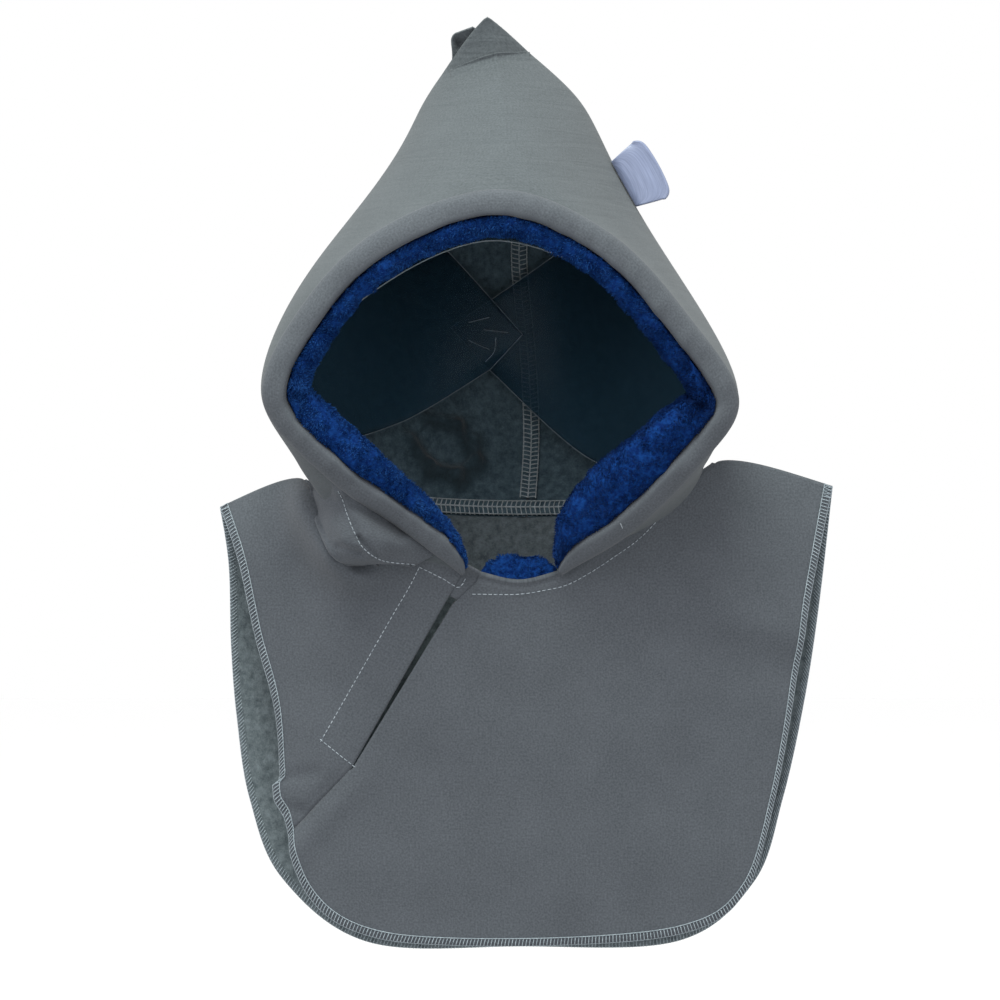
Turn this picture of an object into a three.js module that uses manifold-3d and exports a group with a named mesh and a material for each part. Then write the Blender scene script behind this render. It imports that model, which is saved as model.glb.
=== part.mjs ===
// A child's pull-on hood with a shoulder bib: softshell outside, fleece inside, a blue plush
// edge round the face, and the clear plastic sheet that holds the empty hood open.
//
// Millimetres, +Z up. The front of the hood faces -Y and the wearer's left is at +X.
// The origin is inside the crown, where the top of the head sits.

import * as THREE from 'three';
import { mergeVertices } from 'three/addons/utils/BufferGeometryUtils.js';
import Module from 'manifold-3d';

// Driving sizes of the hood
const hoodWidth = 256;          // widest, across the cheeks
const hoodDepth = 190;          // from the brim to the roundest part of the back
const brimForward = 102;        // how far the brim stands in front of the origin
const neckDrop = 218;           // from the origin down to the two front neck points
const peakRise = 86;            // from the origin up to the peak
const peakSpread = 0.46;        // share of the hood over which the peak opens out
const creaseDrop = 24;          // the peak is bent up along a crease this far below its tip
const creaseSlant = 0.24;       // rise of the crease to the right
const peakBend = 0.9;           // how far the cloth above the crease leans forward
const clothWall = 2.4;          // softshell bonded to fleece
const sewingGap = 0.3;          // clearance between pieces that are sewn together
const neckClearance = 1.2;      // and between the hood and the panels, whose facets differ

// Driving sizes of the bib
const bibWidth = 337;           // from shoulder tip to shoulder tip
const bibLength = 204;          // from the front neck points down to the bottom hem
const bibShift = 14.5;          // the bib's middle lies this far to the right of the hood's
const bibDepth = 60;            // how far the front and back panels may stand apart
const shoulderStart = 0.14;     // share of the shoulder that lies under the hood's overhang
const earlyFall = 0.6;          // below 1, the panels turn down soon after the neck
const humpStart = 0.08;         // share of a panel over which its hump rises
const neckCrowding = 1.5;       // how strongly the facets of a panel crowd towards the neck

// Edges, trims and linings
const bandRoll = 9;             // how far the rolled face band stands in front of the hood body
const bandTurn = 12.5;          // how far it turns in towards the face
const bandLip = 0.6;            // how far it stands outside the hood body
const liningShow = 13;          // how far the plush shows inside the band
const liningRun = 26;           // how far the plush runs back inside the hood
const liningSeat = 7.4;         // the plush lies this far under the outside of the hood
const liningLip = 1.5;          // and this far behind the face edge, under the band
const hemWidth = 4.6;           // overlocked hem of the bib
const hemThickness = 3.4;
const backSeamWidth = 8.5;      // overlocked seam allowance, lying to one side
const neckSeamWidth = 9.5;
const seamThickness = 2.2;
const placketWidth = 24;        // the stitched strip along the slit
const placketLength = 118;
const placketThickness = 1.2;
const slitMouth = 8.6;          // the slit is this wide at the neck
const slitWidth = 2.8;          // and this wide a little way down, closing to its end
const slitEnd = 0.6;
const slitLength = 122;
const slitLean = 29.5;          // degrees from upright, down to the left
const underlapWidth = 18;       // the strip behind the mouth of the slit
const underlapLength = 26;
const underlapThickness = 1.6;
const chinWidth = 44;           // the plush end of the underlap
const chinHeight = 24;
const chinThickness = 9;

// The loop tab and the clear former
const tabReach = 20;
const tabOpening = 1.8;
const tabThickness = 0.9;
const formerThickness = 0.6;

// Rows of numbers under named columns
const table = (names, rows) => rows.map((row) => (
  Object.fromEntries(names.map((name, k) => [name, row[k]]))));

const hoodHeight = neckDrop + peakRise;
const halfHood = hoodWidth / 2;
const halfBib = bibWidth / 2;

// Shares of halfHood (across, out), hoodHeight (height, up), hoodDepth (back) and liningShow.
// A row for each line of the hood, from the left neck point over the ridge to the right one.
// across, height and back place its start on the face edge, leave says how it sets off towards
// the back, meet how it comes round to the centre back seam, and lining how much plush shows.
const hoodLines = table([
  'across', 'height', 'back', 'leaveOut', 'leaveUp',
  'leaveBack', 'meetOut', 'meetUp', 'lining',
], [
  [ -0.16,     0, 0.263,  -0.78,   0.2, -0.03,  -1.08,      0,  0.3],
  [-0.412,  0.08,  0.21,  -0.56,   0.1,     0,  -1.05,  -0.05,  0.9],
  [-0.716, 0.171, 0.137, -0.323, 0.026, 0.147,  -0.93, -0.066,  1.2],
  [-0.973, 0.303, 0.105, -0.089, 0.046,  0.22, -0.877,  -0.07, 0.95],
  [ -0.82, 0.457, 0.063, -0.051,  0.09,  0.22,  -0.51,  0.006, 0.85],
  [ -0.49, 0.593, 0.016,  0.285, 0.118,  0.18, -0.396,  0.046,  0.9],
  [     0, 0.661,     0,   0.07, 0.095, 0.168,      0, -0.086, 0.95],
  [ 0.449, 0.586, 0.016, -0.269, 0.118,  0.18,  0.416,  0.046,  0.9],
  [  0.78, 0.441, 0.063, -0.116,  0.09,  0.22,  0.538,  0.006,  0.9],
  [  0.98, 0.303, 0.105,   0.03, 0.046,  0.22,  0.841,  -0.07,    1],
  [  0.82,  0.19, 0.126,  0.139, 0.026, 0.147,   0.93, -0.066,  1.7],
  [  0.54, 0.072,   0.2,   0.36,  0.12, 0.053,   1.03,  -0.05,  1.9],
  [ 0.258,     0, 0.274,    0.6,  0.16,     0,   1.05,      0,  0.8],
]);

// The centre back seam, from the neck up to the peak, in the same shares
const backSeamLine = table(['across', 'height', 'back', 'meetBack'], [
  [ 0.117, 0.092, 0.853,      0],
  [  0.14,  0.24, 0.979, -0.047],
  [ 0.125, 0.405,     1,  -0.07],
  [ 0.087, 0.569, 0.937, -0.037],
  [ 0.082, 0.717, 0.821, -0.037],
  [  0.01, 0.849, 0.674,  -0.03],
  [-0.055,     1, 0.589,  -0.09],
]);

// Puffs of cloth on the hood body: where each lies, how far it spreads in girth and run, and
// how far it pushes, in shares of halfHood (out), hoodHeight (up) and hoodDepth (forward)
const puffs = [
  { girth: 0.0, run: 0.16, girthSpread: 0.1, runSpread: 0.13, out: -0.09, up: -0.055, forward: 0.02 },
];

// Shares of halfBib (across), bibLength (drop, below the neck points) and bibDepth (forward).
// A row for each place round the hem, from the left shoulder tip down and up to the right one.
// hump is how far the cloth stands up beside the neck, and reach how far out it does so.
// lift is how far the cloth rises over the shoulder between neck and hem.
const frontHemLine = table(['across', 'drop', 'forward', 'hump', 'reach', 'lift'], [
  [    -1, -0.174,    0,    0,  0.3, 0.25],
  [-0.935, -0.024, 0.17, 0.35, 0.42, 0.12],
  [-0.881,  0.181, 0.22, 0.42, 0.36,    0],
  [-0.816,  0.377, 0.26,  0.2, 0.25,    0],
  [-0.792,  0.621,  0.3,    0,  0.2,    0],
  [-0.715,   0.86, 0.34,    0,  0.2,    0],
  [ -0.49,  0.978, 0.37,    0,  0.2,    0],
  [-0.021,      1,  0.4,    0,  0.2,    0],
  [   0.5,  0.968, 0.37,    0,  0.2,    0],
  [ 0.715,   0.86, 0.34,    0,  0.2,    0],
  [ 0.822,  0.621,  0.3,    0,  0.2,    0],
  [ 0.887,  0.352, 0.26,    0,  0.2,    0],
  [ 0.935,  0.083,  0.2,    0,  0.3,  0.2],
  [     1,  -0.23,    0,    0,  0.3, 0.36],
]);
const backHemLine = table(['across', 'drop', 'forward', 'lift'], [
  [    -1, -0.174,     0, 0.25],
  [-0.976, -0.015, -0.16, 0.15],
  [ -0.97,  0.205,  -0.2,    0],
  [-0.952,  0.401, -0.22,    0],
  [-0.911,  0.621, -0.24,    0],
  [-0.804,   0.84, -0.27,    0],
  [ -0.52,  1.014, -0.28,    0],
  [-0.021,  1.026,  -0.3,    0],
  [   0.5,  1.011, -0.28,    0],
  [  0.74,   0.85, -0.27,    0],
  [ 0.834,  0.621, -0.24,    0],
  [ 0.905,  0.352, -0.21,    0],
  [ 0.955,  0.083, -0.18,  0.2],
  [     1,  -0.23,     0, 0.36],
]);

// The clear former, a sheet bent round inside the hood from one end at the back, over the brim,
// to the other end. Rear and front give its two edges, in the shares of hoodLines.
const formerLine = table([
  'rearAcross', 'rearHeight', 'rearBack',
  'frontAcross', 'frontHeight', 'frontBack',
], [
  [   0.1, 0.438, 0.87, -0.045, 0.372, 0.88],
  [-0.235, 0.593, 0.82,  -0.45,  0.27, 0.76],
  [ -0.45,  0.66, 0.56,  -0.76,  0.25,  0.5],
  [ -0.36, 0.745, 0.41,  -0.74,  0.42, 0.27],
  [     0,   0.8, 0.34,  -0.02,  0.58, 0.13],
  [ 0.362, 0.745, 0.41,   0.74,  0.42, 0.27],
  [  0.47,  0.66, 0.56,   0.76,  0.21, 0.48],
  [  0.27, 0.593, 0.82,   0.42,   0.2,  0.8],
  [ -0.22, 0.452,  0.9, -0.045, 0.372, 0.92],
]);

// Smooth reading of one column of a table, with at from 0 (first row) to 1 (last row)
function column(rows, key, at) {
  const place = THREE.MathUtils.clamp(at, 0, 1) * (rows.length - 1);
  const row = Math.min(Math.floor(place), rows.length - 2);
  const share = place - row;
  const value = (k) => rows[THREE.MathUtils.clamp(k, 0, rows.length - 1)][key];
  const slopeIn = (value(row + 1) - value(row - 1)) / 2;
  const slopeOut = (value(row + 2) - value(row)) / 2;
  const square = share * share;
  const cube = square * share;
  return value(row) * (2 * cube - 3 * square + 1) + slopeIn * (cube - 2 * square + share)
    + value(row + 1) * (3 * square - 2 * cube) + slopeOut * (cube - square);
}

const hoodPlace = (across, height, back) => new THREE.Vector3(
  across * halfHood, back * hoodDepth - brimForward, height * hoodHeight - neckDrop);

const bibPlace = (across, drop, forward) => new THREE.Vector3(
  across * halfBib + bibShift, -forward * bibDepth, -neckDrop - drop * bibLength);

// A bump that is 1 in the middle and dies away smoothly at its spread
const bump = (distance, spread) => Math.exp(-((distance / spread) ** 2));

// The hood body: girth runs from the left neck point (0) over the ridge (0.5) to the right one
// (1), and run from the face edge (0) to the centre back seam (1). Each line is a cubic curve.
function hoodPoint(girth, run) {
  const fold = 1 - Math.abs(2 * girth - 1);
  const face = {};
  for (const key of Object.keys(hoodLines[0])) face[key] = column(hoodLines, key, girth);
  const back = {};
  for (const key of Object.keys(backSeamLine[0])) back[key] = column(backSeamLine, key, fold);
  const start = hoodPlace(face.across, face.height, face.back);
  const end = hoodPlace(back.across, back.height, back.back);
  const leave = hoodPlace(face.across + face.leaveOut, face.height + face.leaveUp,
    face.back + face.leaveBack);
  const meet = hoodPlace(back.across + face.meetOut, back.height + face.meetUp,
    back.back + back.meetBack);
  const point = new THREE.CubicBezierCurve3(start, leave, meet, end).getPoint(run);
  const fromPeak = Math.hypot(1 - run, 1 - fold);
  const opening = Math.sqrt(1 - Math.exp(-((Math.max(fromPeak, 1e-6) / peakSpread) ** 2)));
  const spine = column(backSeamLine, 'across', fold) * halfHood;
  point.x = spine + (point.x - spine) / opening;
  const above = point.z - (peakRise - creaseDrop + creaseSlant * point.x);
  point.y -= peakBend * Math.max(0, above);
  for (const puff of puffs) {
    const much = bump(girth - puff.girth, puff.girthSpread) * bump(run - puff.run, puff.runSpread)
      * Math.min(1, run / puff.run);
    point.x += much * puff.out * halfHood;
    point.y -= much * puff.forward * hoodDepth;
    point.z += much * puff.up * hoodHeight;
  }
  return point;
}

// The neck line that the two bib panels are sewn to: the hood's two lower edges, joined
// across the front, and read from the left shoulder round the front or the back to the right
function runAtShoulder(girth) {
  let [low, high] = [0.1, 0.95];
  while (high - low > 1e-4) {
    const middle = (low + high) / 2;
    if (hoodPoint(girth, middle).y < 0) low = middle;
    else high = middle;
  }
  return low;
}
const leftShoulderRun = runAtShoulder(0);
const rightShoulderRun = runAtShoulder(1);

// A closed wall from a grid of outer points and a function that gives the inner one
function wallGeometry(outer, inner, openEnds) {
  const columns = outer.length - 1;
  const rows = outer[0].length - 1;
  const corners = [];
  const quad = (a, b, c, d) => corners.push(a, b, c, a, c, d);
  for (let i = 0; i < columns; i += 1) {
    for (let j = 0; j < rows; j += 1) {
      quad(outer[i][j], outer[i + 1][j], outer[i + 1][j + 1], outer[i][j + 1]);
      quad(inner[i][j], inner[i][j + 1], inner[i + 1][j + 1], inner[i + 1][j]);
    }
    quad(outer[i][0], inner[i][0], inner[i + 1][0], outer[i + 1][0]);
    if (openEnds.last) quad(outer[i][rows], outer[i + 1][rows], inner[i + 1][rows], inner[i][rows]);
  }
  for (let j = 0; j < rows; j += 1) {
    quad(outer[0][j], outer[0][j + 1], inner[0][j + 1], inner[0][j]);
    quad(outer[columns][j], inner[columns][j], inner[columns][j + 1], outer[columns][j + 1]);
  }
  return solidFrom(corners);
}

// Welds loose triangles into one closed body and turns its faces outwards
function solidFrom(corners) {
  const loose = new THREE.BufferGeometry().setFromPoints(corners);
  const welded = mergeVertices(loose, 1e-4);
  const position = welded.getAttribute('position');
  const index = Array.from(welded.getIndex().array);
  const kept = [];
  let volume = 0;
  const [a, b, c] = [new THREE.Vector3(), new THREE.Vector3(), new THREE.Vector3()];
  for (let k = 0; k < index.length; k += 3) {
    const [i, j, l] = index.slice(k, k + 3);
    if (i === j || j === l || i === l) continue;
    kept.push(i, j, l);
    a.fromBufferAttribute(position, i);
    b.fromBufferAttribute(position, j);
    c.fromBufferAttribute(position, l);
    volume += a.dot(b.cross(c)) / 6;
  }
  if (volume < 0) kept.reverse();
  welded.setIndex(kept);
  welded.computeVertexNormals();
  return welded;
}

// Grid of points of a surface, and the unit normals there by differences of neighbours
function gridOf(surface, columns, rows) {
  return Array.from({ length: columns + 1 }, (_, i) => (
    Array.from({ length: rows + 1 }, (_unused, j) => surface(i / columns, j / rows))));
}

function normalsOf(grid) {
  const columns = grid.length - 1;
  const rows = grid[0].length - 1;
  return grid.map((line, i) => line.map((_, j) => {
    const across = grid[Math.min(i + 1, columns)][j].clone().sub(grid[Math.max(i - 1, 0)][j]);
    const along = grid[i][Math.min(j + 1, rows)].clone().sub(grid[i][Math.max(j - 1, 0)]);
    return across.cross(along).normalize();
  }));
}

// A profile carried along frames: each frame has a place and two directions
function sweepGeometry(frames, profileAt) {
  const rings = frames.map((frame, k) => profileAt(k / (frames.length - 1)).map(([forward, out]) => (
    frame.place.clone().addScaledVector(frame.forward, forward).addScaledVector(frame.out, out))));
  const sides = rings[0].length;
  const corners = [];
  for (let k = 0; k + 1 < rings.length; k += 1) {
    for (let m = 0; m < sides; m += 1) {
      const n = (m + 1) % sides;
      corners.push(rings[k][m], rings[k][n], rings[k + 1][n], rings[k][m], rings[k + 1][n], rings[k + 1][m]);
    }
  }
  for (const [ring, flip, at] of [[rings[0], true, 0], [rings[rings.length - 1], false, 1]]) {
    const outline = profileAt(at).map(([x, y]) => new THREE.Vector2(x, y));
    for (const face of THREE.ShapeUtils.triangulateShape(outline, [])) {
      const turned = THREE.ShapeUtils.isClockWise(outline) === flip ? face : [face[0], face[2], face[1]];
      corners.push(...turned.map((m) => ring[m]));
    }
  }
  return solidFrom(corners);
}

// Finishes
const finish = (color, roughness, extra) => new THREE.MeshStandardMaterial({
  color, roughness, metalness: 0, side: THREE.DoubleSide, ...extra });
const softshell = finish(0x5a5f66, 0.85);
const plush = finish(0x123a86, 1.0);
const fleece = finish(0x414b50, 1.0);
const thread = finish(0x9aa7b2, 0.9);
const satin = finish(0xb9bdd0, 0.4);
const film = finish(0xc8d6de, 0.1, { transparent: true, opacity: 0.25 });

const group = new THREE.Group();
function addPiece(name, geometry, material) {
  const mesh = new THREE.Mesh(geometry, material);
  mesh.name = name;
  group.add(mesh);
}

// Moves each point of a grid along its normal
const offsetGrid = (grid, normals, distance) => grid.map((line, i) => line.map((point, j) => (
  point.clone().addScaledVector(normals[i][j], distance))));

// Hood body
const girthSteps = 40;
const runSteps = 18;
const hoodGrid = gridOf(hoodPoint, girthSteps, runSteps);
const hoodNormals = normalsOf(hoodGrid);
for (let i = 0; i <= girthSteps / 2; i += 1) {
  const mirror = girthSteps - i;
  const both = hoodNormals[i][runSteps].clone().add(hoodNormals[mirror][runSteps]).normalize();
  hoodNormals[i][runSteps] = both;
  hoodNormals[mirror][runSteps] = both;
}
const hoodInside = offsetGrid(hoodGrid, hoodNormals, -clothWall);
addPiece('hood_shell', wallGeometry(hoodGrid, hoodInside, { last: false }), softshell);

// Frames along the face edge: fore looks out of the opening, out away from its middle
const faceTop = hoodPoint(0.5, 0);
const neckPoints = [hoodPoint(0, 0), hoodPoint(1, 0)];
const faceFoot = neckPoints[0].clone().lerp(neckPoints[1], 0.5);
const fore = new THREE.Vector3(0, faceFoot.z - faceTop.z, faceTop.y - faceFoot.y).normalize();
const faceFrames = Array.from({ length: girthSteps + 1 }, (_, i) => {
  const before = hoodPoint(Math.max(0, i - 0.5) / girthSteps, 0);
  const after = hoodPoint(Math.min(girthSteps, i + 0.5) / girthSteps, 0);
  const out = fore.clone().cross(after.sub(before)).normalize();
  return { place: hoodGrid[i][0], forward: fore, out };
});

// A rounded box outline, as [forward, out] pairs, between two depths and two heights
const squareness = 3;
function roundedOutline(back, front, low, high, sides) {
  return Array.from({ length: sides }, (_, k) => {
    const turn = 2 * Math.PI * (k + 0.5) / sides;
    const bend = (value) => Math.sign(value) * Math.abs(value) ** (2 / squareness);
    return [(back + front) / 2 + bend(Math.cos(turn)) * (front - back) / 2,
      (low + high) / 2 + bend(Math.sin(turn)) * (high - low) / 2];
  });
}
addPiece('face_band', sweepGeometry(faceFrames, () => (
  roundedOutline(sewingGap, bandRoll, -bandTurn, bandLip, 12))), softshell);

// Plush lining: a thick fold that shows inside the band and runs back inside the body
addPiece('plush_band', sweepGeometry(faceFrames, (girth) => {
  const top = -bandTurn - 2 * sewingGap;
  const deep = top - liningShow * column(hoodLines, 'lining', girth);
  return [
    [bandRoll * 0.6, top], [bandRoll * 0.8, (top + deep) / 2], [bandRoll * 0.35, deep],
    [-liningRun * 0.4, deep], [-liningRun * 0.9, (deep - liningSeat) / 2],
    [-liningRun, -liningSeat], [-liningRun * 0.5, -liningSeat],
    [-liningLip, -liningSeat - 1], [-liningLip, top],
  ];
}), plush);

// Bib panels: around runs from the left shoulder (0) to the right one (1), and spread from the
// neck line (0) to the hem (1). The cloth stands up beside the neck, then falls to the hem.
const frontWay = { hem: frontHemLine, side: -1 };
const backWay = { hem: backHemLine, side: 1 };

function neckCurve(way) {
  const samples = 12;
  const stretch = (girth, from, to) => Array.from({ length: samples }, (_, k) => (
    hoodPoint(girth, from + (to - from) * k / (samples - 1))));
  const points = way.side < 0
    ? [...stretch(0, leftShoulderRun, 0), ...stretch(1, 0, rightShoulderRun)]
    : [...stretch(0, leftShoulderRun, 1), ...stretch(1, 1, rightShoulderRun).slice(1)];
  return new THREE.CatmullRomCurve3(points, false, 'centripetal');
}
frontWay.neck = neckCurve(frontWay);
backWay.neck = neckCurve(backWay);
const neckMiddle = frontWay.neck.getPointAt(0).lerp(frontWay.neck.getPointAt(1), 0.5);

function bibPoint(way, around, spread) {
  const neck = way.neck.getPointAt(around);
  const away = neck.clone().sub(neckMiddle).setY(0).normalize();
  neck.addScaledVector(away, neckClearance).setZ(neck.z - neckClearance);
  const row = {};
  for (const key of Object.keys(way.hem[0])) row[key] = column(way.hem, key, around);
  const hem = bibPlace(row.across, row.drop, row.forward);
  const point = neck.clone().lerp(hem, spread);
  const lean = Math.sin(Math.PI * around);
  const fall = spread ** earlyFall;
  point.y = neck.y + (hem.y - neck.y) * (spread + (fall - spread) * lean);
  if (row.hump) {
    const standing = bump(spread - row.reach / 2, row.reach / 2.4) * Math.min(1, spread / humpStart);
    point.y -= row.hump * bibDepth * standing;
  }
  const climb = Math.max(0, (spread - shoulderStart) / (1 - shoulderStart));
  point.z += row.lift * bibDepth * Math.sin(Math.PI * climb ** earlyFall);
  point.y += way.side * sewingGap / 2;
  return point;
}

// The cloth of a panel stops short of the hem by the width of the overlocked edge
const aroundSteps = 30;
const spreadSteps = 12;
function panel(way) {
  const clothShare = Array.from({ length: aroundSteps + 1 }, (_, i) => {
    const around = i / aroundSteps;
    const length = bibPoint(way, around, 0).distanceTo(bibPoint(way, around, 1));
    return (length - hemWidth - sewingGap) / length;
  });
  const grid = gridOf((around, down) => {
    const share = clothShare[Math.round(around * aroundSteps)];
    return bibPoint(way, around, down ** neckCrowding * share);
  }, aroundSteps, spreadSteps);
  const normals = normalsOf(grid);
  for (const line of normals) for (const normal of line) normal.multiplyScalar(way.side);
  for (const i of [0, aroundSteps]) for (const normal of normals[i]) normal.setY(0).normalize();
  const inside = offsetGrid(grid, normals, -clothWall);
  const frames = grid.map((line, i) => {
    const edge = bibPoint(way, i / aroundSteps, 1);
    const forward = edge.clone().sub(line[spreadSteps]).normalize();
    return { place: edge, forward, out: normals[i][spreadSteps] };
  });
  return { geometry: wallGeometry(grid, inside, { last: true }), frames };
}
const front = panel(frontWay);
const back = panel(backWay);

// The overlocked hems stand a little proud of the cloth on both sides
function hem(panelFrames) {
  const middle = -clothWall / 2;
  return sweepGeometry(panelFrames, () => roundedOutline(
    -hemWidth, 0, middle - hemThickness / 2, middle + hemThickness / 2, 8));
}
addPiece('front_hem', hem(front.frames), thread);
addPiece('back_hem', hem(back.frames), thread);
addPiece('bib_back', back.geometry, softshell);

// The front panel's surface under a given place seen from the front, with its normal there
function frontSurface(x, z) {
  let [around, spread] = [0.45, 0.3];
  const step = 1e-3;
  for (let turn = 0; turn < 12; turn += 1) {
    const here = bibPoint(frontWay, around, spread);
    const aside = bibPoint(frontWay, around + step, spread).sub(here).divideScalar(step);
    const down = bibPoint(frontWay, around, spread + step).sub(here).divideScalar(step);
    const area = aside.x * down.z - aside.z * down.x;
    const [dx, dz] = [x - here.x, z - here.z];
    around = THREE.MathUtils.clamp(around + (dx * down.z - dz * down.x) / area, 0.02, 0.98);
    spread = THREE.MathUtils.clamp(spread + (aside.x * dz - aside.z * dx) / area, 0, 1);
  }
  const here = bibPoint(frontWay, around, spread);
  const aside = bibPoint(frontWay, around + step, spread).sub(here);
  const down = bibPoint(frontWay, around, spread + step).sub(here);
  const normal = down.cross(aside).normalize();
  if (normal.y > 0) normal.negate();
  return { place: here, normal };
}

// The slit: a thin wedge cut out of the front panel, from the left neck point downwards
const lean = THREE.MathUtils.degToRad(slitLean);
const slitDown = new THREE.Vector2(-Math.sin(lean), -Math.cos(lean));
const slitAside = new THREE.Vector2(-slitDown.y, slitDown.x);
const slitTop = new THREE.Vector2(neckPoints[0].x, neckPoints[0].z);
const alongSlit = (down, aside) => slitTop.clone()
  .addScaledVector(slitDown, down).addScaledVector(slitAside, aside);
const slitShape = new THREE.Shape([
  alongSlit(-slitMouth, 0), alongSlit(slitMouth, 0), alongSlit(slitLength, 0),
  alongSlit(slitLength, slitEnd), alongSlit(slitMouth * 2, slitWidth),
  alongSlit(0, slitMouth), alongSlit(-slitMouth, slitMouth),
]);
const wedge = new THREE.ExtrudeGeometry(slitShape, { depth: bibDepth * 2, bevelEnabled: false });
wedge.rotateX(Math.PI / 2);
wedge.translate(0, -sewingGap, 0);

const wasm = await Module();
wasm.setup();
function toSolid(geometry) {
  const bare = geometry.clone();
  bare.deleteAttribute('normal');
  bare.deleteAttribute('uv');
  const merged = mergeVertices(bare, 1e-4);
  return new wasm.Manifold(new wasm.Mesh({
    numProp: 3,
    vertProperties: Float32Array.from(merged.getAttribute('position').array),
    triVerts: Uint32Array.from(merged.getIndex().array),
  }));
}
function fromSolid(solid) {
  const mesh = solid.getMesh();
  const geometry = new THREE.BufferGeometry();
  geometry.setAttribute('position', new THREE.BufferAttribute(mesh.vertProperties, 3));
  geometry.setIndex(Array.from(mesh.triVerts));
  geometry.computeVertexNormals();
  return geometry;
}
addPiece('bib_front', fromSolid(toSolid(front.geometry).subtract(toSolid(wedge))), softshell);

// A flat strip that follows the front panel, between two depths along its normal
function strip(from, to, edgeFrom, edgeTo, low, high, steps) {
  const surfaces = gridOf((down, aside) => {
    const spot = alongSlit(from + (to - from) * down, edgeFrom + (edgeTo - edgeFrom) * aside);
    return frontSurface(spot.x, spot.y);
  }, steps[0], steps[1]);
  const at = (height) => surfaces.map((line) => line.map(({ place, normal }) => (
    place.clone().addScaledVector(normal, height))));
  return wallGeometry(at(high), at(low), { last: true });
}
addPiece('placket', strip(slitMouth, placketLength, -placketWidth, -sewingGap,
  neckClearance, neckClearance + placketThickness, [16, 4]), softshell);
const behindCloth = -clothWall - neckClearance;
addPiece('slit_underlap', strip(2 * neckClearance, underlapLength, sewingGap, underlapWidth,
  behindCloth - underlapThickness, behindCloth, [5, 5]), fleece);

// The plush end of the underlap, a soft pad behind the middle of the neck line
const chinPlace = frontWay.neck.getPointAt(0.5).clone();
const chin = new THREE.SphereGeometry(1, 16, 10);
const chinCorners = chin.getAttribute('position');
for (let k = 0; k < chinCorners.count; k += 1) {
  const bend = (value, power) => Math.sign(value) * Math.abs(value) ** power;
  chinCorners.setXYZ(k, bend(chinCorners.getX(k), 0.7) * chinWidth / 2,
    chinCorners.getY(k) * chinThickness / 2, bend(chinCorners.getZ(k), 0.8) * chinHeight / 2);
}
chin.translate((neckPoints[0].x + neckPoints[1].x) / 2 + slitMouth / 2,
  chinPlace.y + clothWall + neckClearance + underlapThickness + 2 * sewingGap + chinThickness / 2,
  neckPoints[0].z + sewingGap);
chin.deleteAttribute('uv');
chin.deleteAttribute('normal');
addPiece('chin_plush', mergeVertices(chin, 1e-4), plush);

// Seam allowances inside: one up the centre back, one round the back of the neck. Both take
// their places from the facets of the hood body.
const backSeamFoot = 1;
const backSeamTop = 15;
const neckSeamStart = 8;
const insideFrame = (girth, run) => {
  const step = 1e-3;
  const toward = run > 0.5 ? -step : step;
  const here = hoodPoint(girth, run);
  const alongRun = hoodPoint(girth, run + toward).sub(here).divideScalar(toward);
  const inward = girth < 0.5 ? step : -step;
  const alongGirth = hoodPoint(girth + inward, run).sub(here).divideScalar(inward);
  return { here, alongRun, alongGirth, normal: alongGirth.clone().cross(alongRun).normalize() };
};
const seamFace = -clothWall - 2 * sewingGap;
const backSeamFrames = Array.from({ length: backSeamTop - backSeamFoot + 1 }, (_, k) => {
  const girth = (backSeamFoot + k) / girthSteps;
  const left = insideFrame(girth, 1);
  const right = insideFrame(1 - girth, 1);
  const normal = left.normal.clone().add(right.normal).normalize();
  const aside = left.alongGirth.clone().cross(normal).normalize();
  return { place: left.here, forward: aside, out: normal };
});
addPiece('back_seam', sweepGeometry(backSeamFrames, () => roundedOutline(
  -backSeamWidth / 2, backSeamWidth / 2, seamFace - seamThickness, seamFace, 6)), thread);

const neckSeamSteps = runSteps - neckSeamStart;
const neckSeamFrames = Array.from({ length: 2 * neckSeamSteps + 1 }, (_, k) => {
  const girth = k <= neckSeamSteps ? 0 : 1;
  const frame = insideFrame(girth, 1 - Math.abs(k - neckSeamSteps) / runSteps);
  const up = frame.alongGirth.clone().multiplyScalar(girth === 0 ? 1 : -1);
  up.addScaledVector(frame.normal, -up.dot(frame.normal)).normalize();
  return { place: frame.here, forward: up, out: frame.normal };
});
addPiece('neck_seam', sweepGeometry(neckSeamFrames, () => roundedOutline(
  neckClearance, neckSeamWidth, seamFace - seamThickness, seamFace, 6)), thread);

// The clear former: a ruled sheet between its rear and front edges, bowed a little outwards
const formerSteps = [36, 4];
const formerSheet = (round, width) => {
  const row = {};
  for (const key of Object.keys(formerLine[0])) row[key] = column(formerLine, key, round);
  const rear = hoodPlace(row.rearAcross, row.rearHeight, row.rearBack);
  return rear.lerp(hoodPlace(row.frontAcross, row.frontHeight, row.frontBack), width);
};
const formerGrid = gridOf(formerSheet, ...formerSteps);
const formerInside = offsetGrid(formerGrid, normalsOf(formerGrid), -formerThickness);
addPiece('clear_former', wallGeometry(formerGrid, formerInside, { last: true }), film);

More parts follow.
